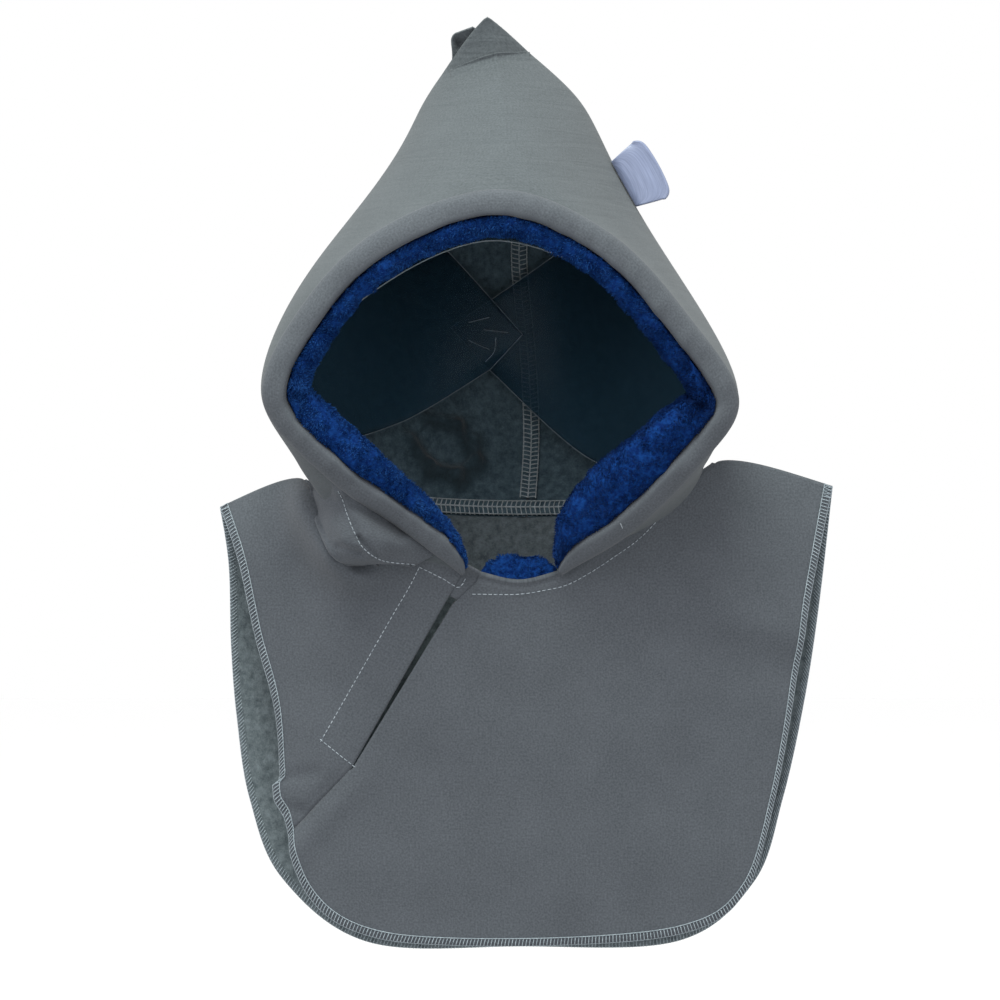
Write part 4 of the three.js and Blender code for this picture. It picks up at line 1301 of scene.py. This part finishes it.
def topstitch(name, path, out, thread, pitch=STITCH_PITCH):
    """Short grains of thread along a path on the cloth, each with its ends sunk in."""
    path, out = resampled(pitch, path, out)
    way = unit(np.gradient(path, axis=0))
    side = unit(np.cross(way, out))
    turn = np.pi / 3 * np.arange(6)[:, None]
    ring = side[:, None] * np.cos(turn) + out[:, None] * np.sin(turn)
    length = STITCH_LENGTH * pitch / STITCH_PITCH
    centres = (path[:, None] + way[:, None] * (grain["along"] * length)[:, None]
               + out[:, None] * (grain["lift"] * STITCH_RADIUS)[:, None])
    rings = centres[:, :, None] + ring[:, None] * (grain["size"] * STITCH_RADIUS)[:, None, None]
    one = rings_mesh(rings[0])
    caps = rings[:, [0, -1]].mean(2)
    points = np.concatenate([rings.reshape(len(path), -1, 3), caps], 1)
    faces = one[1] + len(one[0]) * np.arange(len(path))[:, None, None]
    piece = make(name, points.reshape(-1, 3), faces.reshape(-1, 4), [thread])
    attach(piece, "root")
    return piece


# %% Hems
def hem_frames(line, inner_line, out):
    """The hem's edge in the middle of the cloth, the way in from it and the cloth's normal."""
    return line - out * CLOTH / 2, unit(inner_line - line), out


front_line = np.concatenate([front_parts[0][:, -1], front_parts[1][1:, -1]])
front_inner = np.concatenate([front_parts[0][:, -4], front_parts[1][1:, -4]])
front_out = -np.concatenate([normals_of(grid)[:, -1] for grid in (front_parts[0], front_parts[1][1:])])
front_hem = overlock("front_overlock", *hem_frames(front_line, front_inner, front_out), hem_thread)
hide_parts("front_hem")

back_out = normals_of(back_grid)[:, -1]
back_hem = overlock("back_overlock", *hem_frames(back_grid[:, -1], back_grid[:, -4], back_out),
                    hem_thread)
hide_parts("back_hem")

# %% Places on the front panel
front_surface = np.concatenate([grid.reshape(-1, 3) for grid in front_parts])
front_normals = -np.concatenate([normals_of(grid).reshape(-1, 3) for grid in front_parts])


FRONT_FACING = -0.1
FLATTEST = -0.2


def seen_on(surface, normals, x, z):
    """Places on a surface that are seen from the front at x and z, and the normals there: the
    nearest point of the surface, moved in depth along the plane through it."""
    x, z = np.ravel(x), np.ravel(z)
    nearest = ((surface[:, 0] - x[:, None]) ** 2 + (surface[:, 2] - z[:, None]) ** 2).argmin(1)
    near, normal = surface[nearest], normals[nearest]
    slope = (x - near[:, 0]) * normal[:, 0] + (z - near[:, 2]) * normal[:, 2]
    y = near[:, 1] - slope / np.minimum(normal[:, 1], FLATTEST)
    return np.stack([x, y, z], -1), normal


def drawn_line(corners):
    """A smooth line through places in millimetres, seen from the front, as x and z in metres."""
    corners = np.array(corners, float) * MM
    flat = np.stack([corners[:, 0], 0 * corners[:, 0], corners[:, 1]], -1)
    return curve_through(flat)(steps(LENGTH_STEPS))[:, [0, 2]]


# %% [markdown]
# ## Folds that stand out
#
# Left of the neck the cloth is crowded and puffs out, and the tip of the hood is folded back over
# a crisp edge. Such folds hang over themselves, which a height on the cloth can't do. So each is
# a sheet of its own, whose places were read from the front and whose back edge is tucked in.

# %% Fold beside the neck
# On the left the cloth stands out beside the neck seam, rolls over and tucks in under itself.
# Each row is a place tucked under the band, one on the seam and one on the rolled edge, and how
# far the cloth swells forward, all in millimetres, and then how much of the fold stands out.
neck_fold_line = table(
    "tuck_x tuck_z seam_x seam_z edge_x edge_z swell stand".split(),
    [
        [-99, -158.4, -98.4, -160.6, -102.2, -160.6, 0, 0],
        [-91, -164.8, -88.8, -169.1, -101.9, -169.1, 1.5, 0.1],
        [-81.3, -172.3, -83.5, -176.6, -100.6, -178.8, 3, 0.45],
        [-71.7, -179.3, -80.3, -185.7, -96.8, -188.9, 7, 0.85],
        [-62.1, -186.2, -76.5, -195.3, -91.5, -199.9, 9, 1],
        [-52.4, -193.7, -71.7, -203.9, -86.7, -208.2, 9, 1],
        [-42.8, -200.7, -61.5, -210.9, -79.2, -213, 6, 1],
        [-33.2, -207.1, -44.4, -213.5, -62.1, -213, 1, 1],
    ],
)
neck_creases = table(
    folds.keys(),
    [
        [-102.2, -163.2, -95.2, -181.4, 2.5, 1.8],
        [-96.8, -167.5, -86.1, -180.4, 3, -2],
        [-68.5, -197.5, -53.5, -202.8, 7, 3],
        [-80.3, -178.8, -52.4, -195.3, 3.5, -3],
        [-85.6, -203.4, -74.9, -206.6, 2, -1.8],
        [-74.9, -206.6, -67.4, -210.9, 2, -1.5],
        [-88.3, -189.5, -80.3, -202.8, 6, 2.5],
        [-74.9, -198.5, -65.3, -208.2, 1.4, -2.2],
    ],
)
FOLD_STEPS = (120, 60)
FOLD_CURL = 0.0034
FOLD_CURL_LEAST = 0.15
FOLD_CLOTH = 0.0016
FOLD_UNDER = 0.4
FOLD_STAND = 2.6
FOLD_TUCK = 0.001
FOLD_TOP_SINK, FOLD_TOP_SHARE = 0.004, 0.07
FOLD_WAVES, FOLD_WAVE_SIZE = 0.0006, 0.03
SEAM_GROOVE, SEAM_GROOVE_SHARE = 0.0011, 0.03
# Start and length of each stretch of a section, as shares of the way round it: out from under
# the band to the seam, on to the rolled edge, round that, and back under
FOLD_STRETCHES = ((0, 0.35), (0.35, 0.3), (0.65, 0.15), (0.8, 0.2))
FOLD_SEAM = 0.35
FOLD_STITCHES = 0.37
left_side = hood_grid[: HOOD_STEPS[0] // 4]
hood_side_normals = normals_of(left_side).reshape(-1, 3)
side_front = hood_side_normals[:, 1] < FRONT_FACING
hood_side, hood_side_normals = left_side.reshape(-1, 3)[side_front], hood_side_normals[side_front]


def fold_section(along, round_share):
    """From under the band to the seam, out to the rolled edge, round it, and back under."""
    row = {name: column(neck_fold_line, name, along) * MM for name in neck_fold_line}
    tuck, seam, edge = (np.stack([row[f"{k}_x"], row[f"{k}_z"]], -1) for k in ("tuck", "seam", "edge"))
    first, out, turned, under = (np.clip((round_share - start) / length, 0, 1)
                                 for start, length in FOLD_STRETCHES)
    curl = np.pi * turned
    flat = tuck + (seam - tuck) * first[..., None] + (edge - seam) * (out - FOLD_UNDER * under)[..., None]

    def depth(surface, normals, place):
        return seen_on(surface, normals, *place.reshape(-1, 2).T)[0][:, 1].reshape(along.shape)

    start = depth(hood_side, hood_side_normals, tuck)
    beside = depth(hood_side, hood_side_normals, edge)
    bib = depth(front_surface, front_normals, edge) - FOLD_STAND * FOLD_CURL
    end = beside + (bib - beside) * row["stand"] / MM
    one, two = (np.linalg.norm(way, axis=-1) for way in (seam - tuck, edge - seam))
    reach = (one * first + two * out) / (one + two)
    y = start + FOLD_TUCK + (end - start) * reach**1.5 - row["swell"] * np.sin(np.pi * reach) ** 0.8
    y += SEAM_GROOVE * bump(round_share - FOLD_SEAM, SEAM_GROOVE_SHARE) * row["stand"] / MM
    y += FOLD_TOP_SINK * bump(along, FOLD_TOP_SHARE)
    y -= fold_height(neck_creases, flat[..., 0], flat[..., 1])
    curl_size = FOLD_CURL * (FOLD_CURL_LEAST + (1 - FOLD_CURL_LEAST) * row["stand"] / MM)
    return np.stack([flat[..., 0] - curl_size * np.sin(curl), y + curl_size * (1 - np.cos(curl)),
                     flat[..., 1]], -1)


fold_grid = grid_of(fold_section, *FOLD_STEPS)
fold_grid[..., 1] += FOLD_WAVES * noise(fold_grid, FOLD_WAVE_SIZE, 41)
fold_faces = quads_of(*fold_grid.shape[:2])
fold_normals = corner_normals(fold_grid.reshape(-1, 3), fold_faces)
if fold_normals.reshape(fold_grid.shape)[:, : FOLD_STEPS[1] // 2, 1].mean() > 0:
    fold_faces = fold_faces[:, ::-1]
    fold_normals = -fold_normals
neck_fold = wall("neck_fold", fold_grid.reshape(-1, 3), fold_faces, FOLD_CLOTH,
                 [bib_cloth] * 3, arc_lengths(fold_grid).reshape(-1, 2))
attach(neck_fold, "root")
fold_seam = round(FOLD_STEPS[1] * FOLD_STITCHES)
fold_stitches = slice(FOLD_STEPS[0] // 4, -2)
topstitch("topstitch_fold", fold_grid[fold_stitches, fold_seam],
          fold_normals.reshape(fold_grid.shape)[fold_stitches, fold_seam], stitch_thread)

# %% Folded tip
# The tip is folded back: the cloth below ends in a crisp edge, and a small ear of cloth with a
# hollow stands out beside it on the left.
CREASE_STEPS = (120, 14)
CREASE_HEIGHT = 0.0011
CREASE_DEPTH = 0.009
CREASE_ENDS = (-0.0275, 0.0165)
CREASE_ARCH = 0.0022
CREASE_STAND, CREASE_SINK = 0.0004, 0.0012
CREASE_CLOTH = 0.0007
hood_normals = normals_of(hood_grid).reshape(-1, 3)
hood_front = hood_normals[:, 1] < FRONT_FACING
hood_surface, hood_normals = hood_grid.reshape(-1, 3)[hood_front], hood_normals[hood_front]


def crease_section(along, down):
    """A flap that stands off the hood along the crease and sinks into it below."""
    x = CREASE_ENDS[0] + (CREASE_ENDS[1] - CREASE_ENDS[0]) * along
    z = PEAK_RISE - CREASE_DROP + CREASE_SLANT * x + CREASE_ARCH * np.sin(np.pi * along)
    place, normal = seen_on(hood_surface, hood_normals, x, z - CREASE_DEPTH * down)
    height = CREASE_HEIGHT * (1 - down) ** 2 + CREASE_STAND - CREASE_SINK * down
    height = height * np.sin(np.pi * along) ** 0.25
    return (place + normal * height.reshape(-1, 1)).reshape(*along.shape, 3)


crease_grid = grid_of(crease_section, *CREASE_STEPS)
crease = wall("crease_edge", crease_grid.reshape(-1, 3),
              quads_of(*crease_grid.shape[:2])[:, ::-1], CREASE_CLOTH, [hood_cloth] * 3,
              crease_grid.reshape(-1, 3)[:, [0, 2]])
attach(crease, "root")

ear_line = table(
    "outer_x outer_z inner_x inner_z".split(),
    [
        [-14.9, 80.2, -10, 78],
        [-22.1, 78, -14, 74],
        [-25.7, 76.4, -17, 71],
        [-26.3, 72.8, -19, 68],
        [-26, 67.8, -21, 65],
        [-25.7, 63.9, -23, 62],
    ],
)
EAR_HOLLOW = 0.004
EAR_STAND = 0.006
EAR_BENT = 0.003
EAR_CLOTH = 0.0012
EAR_STEPS = (40, 24)


def ear_section(along, across):
    """A small sheet between the two lines, hollow in the middle, its outer edge bent forward."""
    row = {name: column(ear_line, name, along) * MM for name in ear_line}
    x = row["outer_x"] + (row["inner_x"] - row["outer_x"]) * across
    z = row["outer_z"] + (row["inner_z"] - row["outer_z"]) * across
    inner = seen_on(hood_surface, hood_normals, row["inner_x"], row["inner_z"])[0][:, 1].reshape(x.shape)
    hollow = EAR_HOLLOW * bump(across - 0.45, 0.3) * bump(along - 0.5, 0.14)
    return np.stack([x, inner + EAR_STAND - EAR_BENT * (1 - across) + hollow, z], -1)


ear_grid = grid_of(ear_section, *EAR_STEPS)
ear_points = ear_grid.reshape(-1, 3)
ear = wall("tip_ear", ear_points, facing_camera(ear_points, quads_of(*ear_grid.shape[:2])), EAR_CLOTH,
           [hood_cloth] * 3, ear_points[:, [0, 2]])
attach(ear, "root")

# %% [markdown]
# ## Stitched details
#
# Rows of topstitches hold the neck seam and the facing flat. They are read from the photo as
# lines seen from the front and dropped onto the cloth. The seams inside the hood follow the
# hood's own formula, just under its surface, and the strips beside the slit follow the slit's.

# %% Topstitches of the front panel
neckline = drawn_line([[-14, -229.3], [10.2, -229.3], [22.9, -227.4], [35.5, -224.5], [48.9, -217.5],
                       [62.7, -208.5], [73.7, -200.8], [83.4, -191.7], [93.6, -180.1], [103.3, -168.5]])
facing_side = drawn_line([[-43.8, -215.9], [-46.5, -221.3], [-50.6, -228.8], [-55.5, -236.9],
                          [-84.5, -287.5], [-96.9, -309.1]])
facing_end = drawn_line([[-96.9, -309.1], [-79.2, -323.1]])
facing_top = drawn_line([[-42.5, -215.1], [-31.2, -220.7], [-21.8, -225.5], [-19, -221.8]])
for label, line in {"neckline": neckline, "facing_side": facing_side, "facing_end": facing_end,
                    "facing_top": facing_top}.items():
    topstitch(f"topstitch_{label}", *seen_on(front_surface, front_normals, *line.T), stitch_thread)

bartack = drawn_line([[63.5, -191.3], [67, -197.4]])
BARTACK_PITCH = 0.0016
topstitch("topstitch_bartack", *seen_on(hood_surface, hood_normals, *bartack.T), stitch_thread,
          BARTACK_PITCH)

# %% Seams inside the hood
# The seam allowance is a doubled strip of cloth that lies to one side, overlocked on its edge.
BACK_SEAM_WIDTH = 0.0085
NECK_SEAM_WIDTH = 0.0095
SEAM_THICKNESS = 0.0022
SEAM_PITCH = 0.0027
SEAM_THREAD = 0.00033
SEAM_LIFT = CLOTH + 2 * GAP
SEAM_STEP = 0.003


def hood_frames(girth, run):
    """Place, outward normal and the way along the girth, at places on the hood's outside."""
    girth, run = np.broadcast_arrays(np.asarray(girth, float), np.asarray(run, float))
    step = 1e-3
    girth_step = np.where(girth < 0.5, step, -step)
    run_step = np.where(run > 0.5, -step, step)
    here = hood_point(girth, run)
    along_girth = (hood_point(girth + girth_step, run) - here) / girth_step[..., None]
    along_run = (hood_point(girth, run + run_step) - here) / run_step[..., None]
    return here, unit(np.cross(along_girth, along_run)), along_girth


def seam_strip(name, place, aside, out, low, high, thread, node):
    """A strip of folded cloth under a line on the hood, and the loops over its edge."""
    place, aside, out = resampled(SEAM_STEP, place, aside, out)
    aside = unit(aside)
    out = unit(out)
    across, height = rounded_box(low, high, -SEAM_LIFT - SEAM_THICKNESS, -SEAM_LIFT, 12, 3)
    rings = place[:, None] + aside[:, None] * across[:, None] + out[:, None] * height[:, None]
    strip = make(name, *rings_mesh(rings), [fleece], uv=ring_uv(rings))
    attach(strip, "root")
    depth = out * (SEAM_LIFT + SEAM_THICKNESS / 2)
    for label, edge, inward in (("overlock", high, -aside), ("looper", low, aside)):
        overlock(f"{name}_{label}", place + aside * edge - depth, inward, -out, thread, SEAM_PITCH,
                 SEAM_THREAD)
    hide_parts(node)


# The back seam, from just above the neck to below the tip
back_girth = np.linspace(1 / 40, 15 / 40, 40)
left_place, left_out, left_way = hood_frames(back_girth, 1.0)
right_place, right_out, _ = hood_frames(1 - back_girth, 1.0)
seam_out = unit(left_out + right_out)
seam_strip("back_seam_strip", left_place, np.cross(left_way, seam_out), seam_out,
           -BACK_SEAM_WIDTH / 2, BACK_SEAM_WIDTH / 2, seam_thread, "back_seam")

# The neck seam, from beside the left shoulder round the back to the right one
neck_run = np.linspace(8 / 18, 1, 30)
left_place, left_out, left_way = hood_frames(0.0, neck_run)
right_place, right_out, right_way = hood_frames(1.0, neck_run[-2::-1])
neck_out = np.concatenate([left_out, right_out])
neck_up = np.concatenate([left_way, -right_way])
neck_up -= (neck_up * neck_out).sum(-1, keepdims=True) * neck_out
seam_strip("neck_seam_strip", np.concatenate([left_place, right_place]), neck_up, neck_out,
           NECK_GAP, NECK_SEAM_WIDTH, seam_thread, "neck_seam")

# %% Facing, underlap and chin plush
# The facing is stitched flat on the cloth beside the slit, so its edge hardly shows.
PLACKET_WIDTH = 0.024
PLACKET_LENGTH = 0.118
PLACKET_THICKNESS = 0.0012
UNDERLAP_WIDTH = 0.018
UNDERLAP_LENGTH = 0.014
UNDERLAP_THICKNESS = 0.0016


def slit_strip(name, ends, edges, lift, sink, thickness, columns, materials, node):
    """A strip of cloth along the slit, lift metres above the front panel, its rim sunk by sink."""
    down, aside = np.meshgrid(ends[0] + (ends[1] - ends[0]) * steps(columns[0]),
                              edges[0] + (edges[1] - edges[0]) * steps(columns[1]), indexing="ij")
    flat = slit_top + down[..., None] * slit_down + aside[..., None] * slit_aside
    place, normal = seen_on(front_surface, front_normals, flat[..., 0], flat[..., 1])
    rim = np.abs(2 * np.stack(np.meshgrid(steps(columns[0]), steps(columns[1]), indexing="ij")) - 1)
    rim = rim.max(0).ravel()[:, None] ** 8
    points = place + normal * (lift - sink * rim)
    faces = facing_camera(points, quads_of(columns[0] + 1, columns[1] + 1))
    piece = wall(name, points, faces, thickness, materials, np.stack([aside.ravel(), down.ravel()], -1))
    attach(piece, "root")
    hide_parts(node)
    return piece


facing = slit_strip("facing", (SLIT_MOUTH, PLACKET_LENGTH), (-PLACKET_WIDTH, -GAP), 0.0002, 0.0005,
                    PLACKET_THICKNESS, (80, 20), [bib_cloth] * 3, "placket")
underlap = slit_strip("underlap", (-0.004, UNDERLAP_LENGTH), (-0.006, UNDERLAP_WIDTH),
                      -0.0007, 0, UNDERLAP_THICKNESS, (16, 12), [bib_cloth] * 3, "slit_underlap")

# The chin plush is a cushion with blunt ends: a ball whose width is drawn towards its sides.
CHIN_SIZE = np.array([0.044, 0.009, 0.024])
CHIN_BLUNT = [0.8, 1, 1]
CHIN_SWELL, CHIN_SWELL_SIZE = 0.0005, 0.008
CHIN_TUFTS = 3500
turns, rises = np.meshgrid(2 * np.pi * np.arange(64) / 64, np.pi * steps(40), indexing="ij")
ball = np.stack([np.cos(turns) * np.sin(rises), np.sin(turns) * np.sin(rises), np.cos(rises)], -1)
chin_middle = np.array([(left_neck[0] + right_neck[0]) / 2 + SLIT_MOUTH / 2,
                        front_way["neck"](0.5)[1] + CLOTH + NECK_GAP + UNDERLAP_THICKNESS + 2 * GAP
                        + CHIN_SIZE[1] / 2, -NECK_DROP - 0.003])
chin_grid = chin_middle + np.sign(ball) * np.abs(ball) ** CHIN_BLUNT * CHIN_SIZE / 2
chin_swell = noise(chin_grid, CHIN_SWELL_SIZE, 31)[..., None]
chin_grid += unit(chin_grid - chin_middle) * CHIN_SWELL * chin_swell
chin_rings = chin_grid.transpose(1, 0, 2)
chin = make("chin_backing", *rings_mesh(chin_rings[1:-1]), [backing])
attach(chin, "root")
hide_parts("chin_plush")
chin_pile = pile_on("chin_pile", chin_rings, unit(chin_rings - chin_middle),
                    spots_in(CHIN_TUFTS, (1, 39), (0, 62.9), 8), 17)
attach(chin_pile, "root")

# %% [markdown]
# ## Clear sheet, staples and side tab
#
# One clear strip is bent round inside the hood, over the brim and down both sides, and its ends
# cross at the back, where staples hold them. The satin tab is a ribbon folded into a loop.

# %% Clear sheet
FILM = 0.0005
former_line = table(
    "rear_across rear_height rear_back front_across front_height front_back".split(),
    [
        [0.1, 0.438, 0.87, -0.045, 0.372, 0.88],
        [-0.235, 0.593, 0.82, -0.45, 0.27, 0.76],
        [-0.45, 0.66, 0.56, -0.76, 0.25, 0.5],
        [-0.36, 0.745, 0.41, -0.74, 0.42, 0.27],
        [0, 0.8, 0.34, -0.02, 0.58, 0.13],
        [0.362, 0.745, 0.41, 0.74, 0.42, 0.27],
        [0.47, 0.66, 0.56, 0.76, 0.21, 0.48],
        [0.27, 0.593, 0.82, 0.42, 0.2, 0.8],
        [-0.22, 0.452, 0.9, -0.045, 0.372, 0.92],
    ],
)
FORMER_STEPS = (240, 24)


def former_point(round_share, width):
    """A ruled sheet from its rear edge (width 0) to its front edge (1), round the head."""
    row = {name: column(former_line, name, round_share) for name in former_line}
    rear = hood_place(row["rear_across"], row["rear_height"], row["rear_back"])
    front = hood_place(row["front_across"], row["front_height"], row["front_back"])
    return rear + (front - rear) * width[..., None]


former_grid = grid_of(former_point, *FORMER_STEPS)
former = wall("clear_sheet", former_grid.reshape(-1, 3),
              quads_of(*former_grid.shape[:2]), FILM, [film_painted_shade, film_painted_shade, painted_edge_glint],
              arc_lengths(former_grid).reshape(-1, 2))
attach(former, "root")
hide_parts("clear_former")

# Pale threads along the sheet's four edges: a painted glint.
FILM_GLINT_RADIUS = 0.00026
film_out = normals_of(former_grid)
film_glint_lines = [(former_grid[:, 0], film_out[:, 0]), (former_grid[:, -1], film_out[:, -1]),
              (former_grid[0], film_out[0]), (former_grid[-1], film_out[-1])]
film_glint_threads = make("clear_sheet_edge_glints",
                  *joined([tube(line, 4, FILM_GLINT_RADIUS, out) for line, out in film_glint_lines]), [painted_edge_glint])
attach(film_glint_threads, "root")

# %% Staples and the thread that ties the ends
former_normals = normals_of(former_grid)
former_normals *= np.where(former_normals[..., 1:2] > 0, -1, 1)
REAR_HALF = 0.04
rear_half = (former_grid[..., 1] > REAR_HALF).ravel()
rear_surface = former_grid.reshape(-1, 3)[rear_half]
rear_normals = former_normals.reshape(-1, 3)[rear_half]
WIRE = 0.0002
TIE_THREAD = 0.00013
TIE_SINK = 0.001
ties = {
    "staple_top": ([[-17.6, -78.2], [-6.2, -75.3]], WIRE, wire),
    "staple_middle": ([[-9.1, -82.2], [4.5, -83.9]], WIRE, wire),
    "staple_low": ([[-17.6, -88.4], [-6.2, -93.5]], WIRE, wire),
    "tie": ([[-2.3, -86.7], [-3.4, -94.7], [-8.2, -100.3]], TIE_THREAD, stitch_thread),
}
for label, (corners, radius, finish) in ties.items():
    place, normal = seen_on(rear_surface, rear_normals, *drawn_line(corners).T)
    height = np.full(len(place), 2 * radius)
    height[[0, -1]] = -TIE_SINK
    # It is stretched straight, as far forward as the foremost place it crosses.
    place[:, 1] = place[:, 1].min()
    tie = make(label, *tube(place + normal * height[:, None], 8, radius, normal), [finish])
    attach(tie, "root")

# %% Side tab
# The ribbon fans out: its upper edge rises more steeply than its lower one.
TAB_REACH = 0.0222
TAB_OPENING = 0.0022
TAB_THICKNESS = 0.0009
TAB_RISE = np.radians([42, 15])
TAB_COLUMNS = 41
TAB_GIRTHS, TAB_RUNS = (0.6215, 0.6495), (0.582, 0.515)
# One leg of the loop: how far out, as a share of its reach, and how far to the side
tab_leg = table("out side".split(), [[0, 1], [0.2, 1.3], [0.45, 1.5], [0.7, 1.1], [0.85, 0.5]])
tab_side = np.array([0.0, 1.0, 0.0])
tab_root, tab_normal, _ = hood_frames(np.linspace(*TAB_GIRTHS, TAB_COLUMNS),
                                      np.linspace(*TAB_RUNS, TAB_COLUMNS))
share = np.linspace(-1, 1, TAB_COLUMNS)
rise = np.interp(share, [-1, 1], TAB_RISE)
tab_out = np.stack([np.cos(rise), 0 * rise, np.sin(rise)], -1)
fold_turn = np.linspace(np.pi / 2, -np.pi / 2, 33)
fold_out = np.concatenate([tab_leg["out"], 0.93 + 0.07 * np.cos(fold_turn), tab_leg["out"][::-1]])
fold_side = np.concatenate([tab_leg["side"], 0.9 * np.sin(fold_turn), -tab_leg["side"][::-1]])
# The folded edge is rounded off at its corners.
reach = TAB_REACH * (1 - 0.06 * share**2 - 0.16 * share**8)
tab_grid = (tab_root[:, None] + 2 * GAP * tab_normal[:, None]
            + fold_out[None, :, None] * (reach[:, None] * tab_out)[:, None]
            + fold_side[None, :, None] * (TAB_OPENING / 2 + TAB_THICKNESS) * tab_side)
tab_faces = quads_of(*tab_grid.shape[:2])
tab_points = tab_grid.reshape(-1, 3)
if (corner_normals(tab_points, tab_faces) * (tab_points - tab_grid.mean((0, 1)))).sum() < 0:
    tab_faces = tab_faces[:, ::-1]
tab = wall("side_loop", tab_points, tab_faces, TAB_THICKNESS, [satin] * 3,
           arc_lengths(tab_grid).reshape(-1, 2)[:, ::-1])
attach(tab, "root")
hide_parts("side_tab")

# %% [markdown]
# ## What the cloth is
#
# Each sheet of cloth is listed and printed with the size it was cut to. The pieces are cut with curved
# edges, so the flat area is measured on the finished cloth and stated beside the rectangle that
# the piece is cut from.


# %% Sheets and padded pieces
def cloth_area(grid):
    """Area of a grid of points: half the cross product of the diagonals of every cell."""
    one = grid[1:, 1:] - grid[:-1, :-1]
    two = grid[1:, :-1] - grid[:-1, 1:]
    return float(np.linalg.norm(np.cross(one, two), axis=-1).sum() / 2)


declared = {
    hood_body: ((0.640, 0.260), "hung", ["clear_former"], cloth_area(hood_grid)),
    front_panel: ((0.360, 0.300), "hung", ["hood_body"], sum(cloth_area(grid) for grid in front_parts)),
    back_panel: ((0.370, 0.310), "hung", ["hood_body"], cloth_area(back_grid)),
    neck_fold: ((0.124, 0.064), "folded", ["front_panel"], cloth_area(fold_grid)),
    facing: ((0.024, 0.118), "laid", ["front_panel"], None),
    underlap: ((0.024, 0.026), "laid", ["front_panel"], None),
    crease: ((0.048, 0.014), "folded", ["hood_body"], cloth_area(crease_grid)),
    ear: ((0.020, 0.020), "folded", ["hood_body"], cloth_area(ear_grid)),
    tab: ((0.036, 0.048), "folded", ["hood_body"], cloth_area(tab_grid)),
}
for piece, (flat, held, rests_on, area) in declared.items():
    print(f"{piece.name}: cut from {flat[0] * 1000:.0f} x {flat[1] * 1000:.0f} mm, {area or 0:.4f} m2")
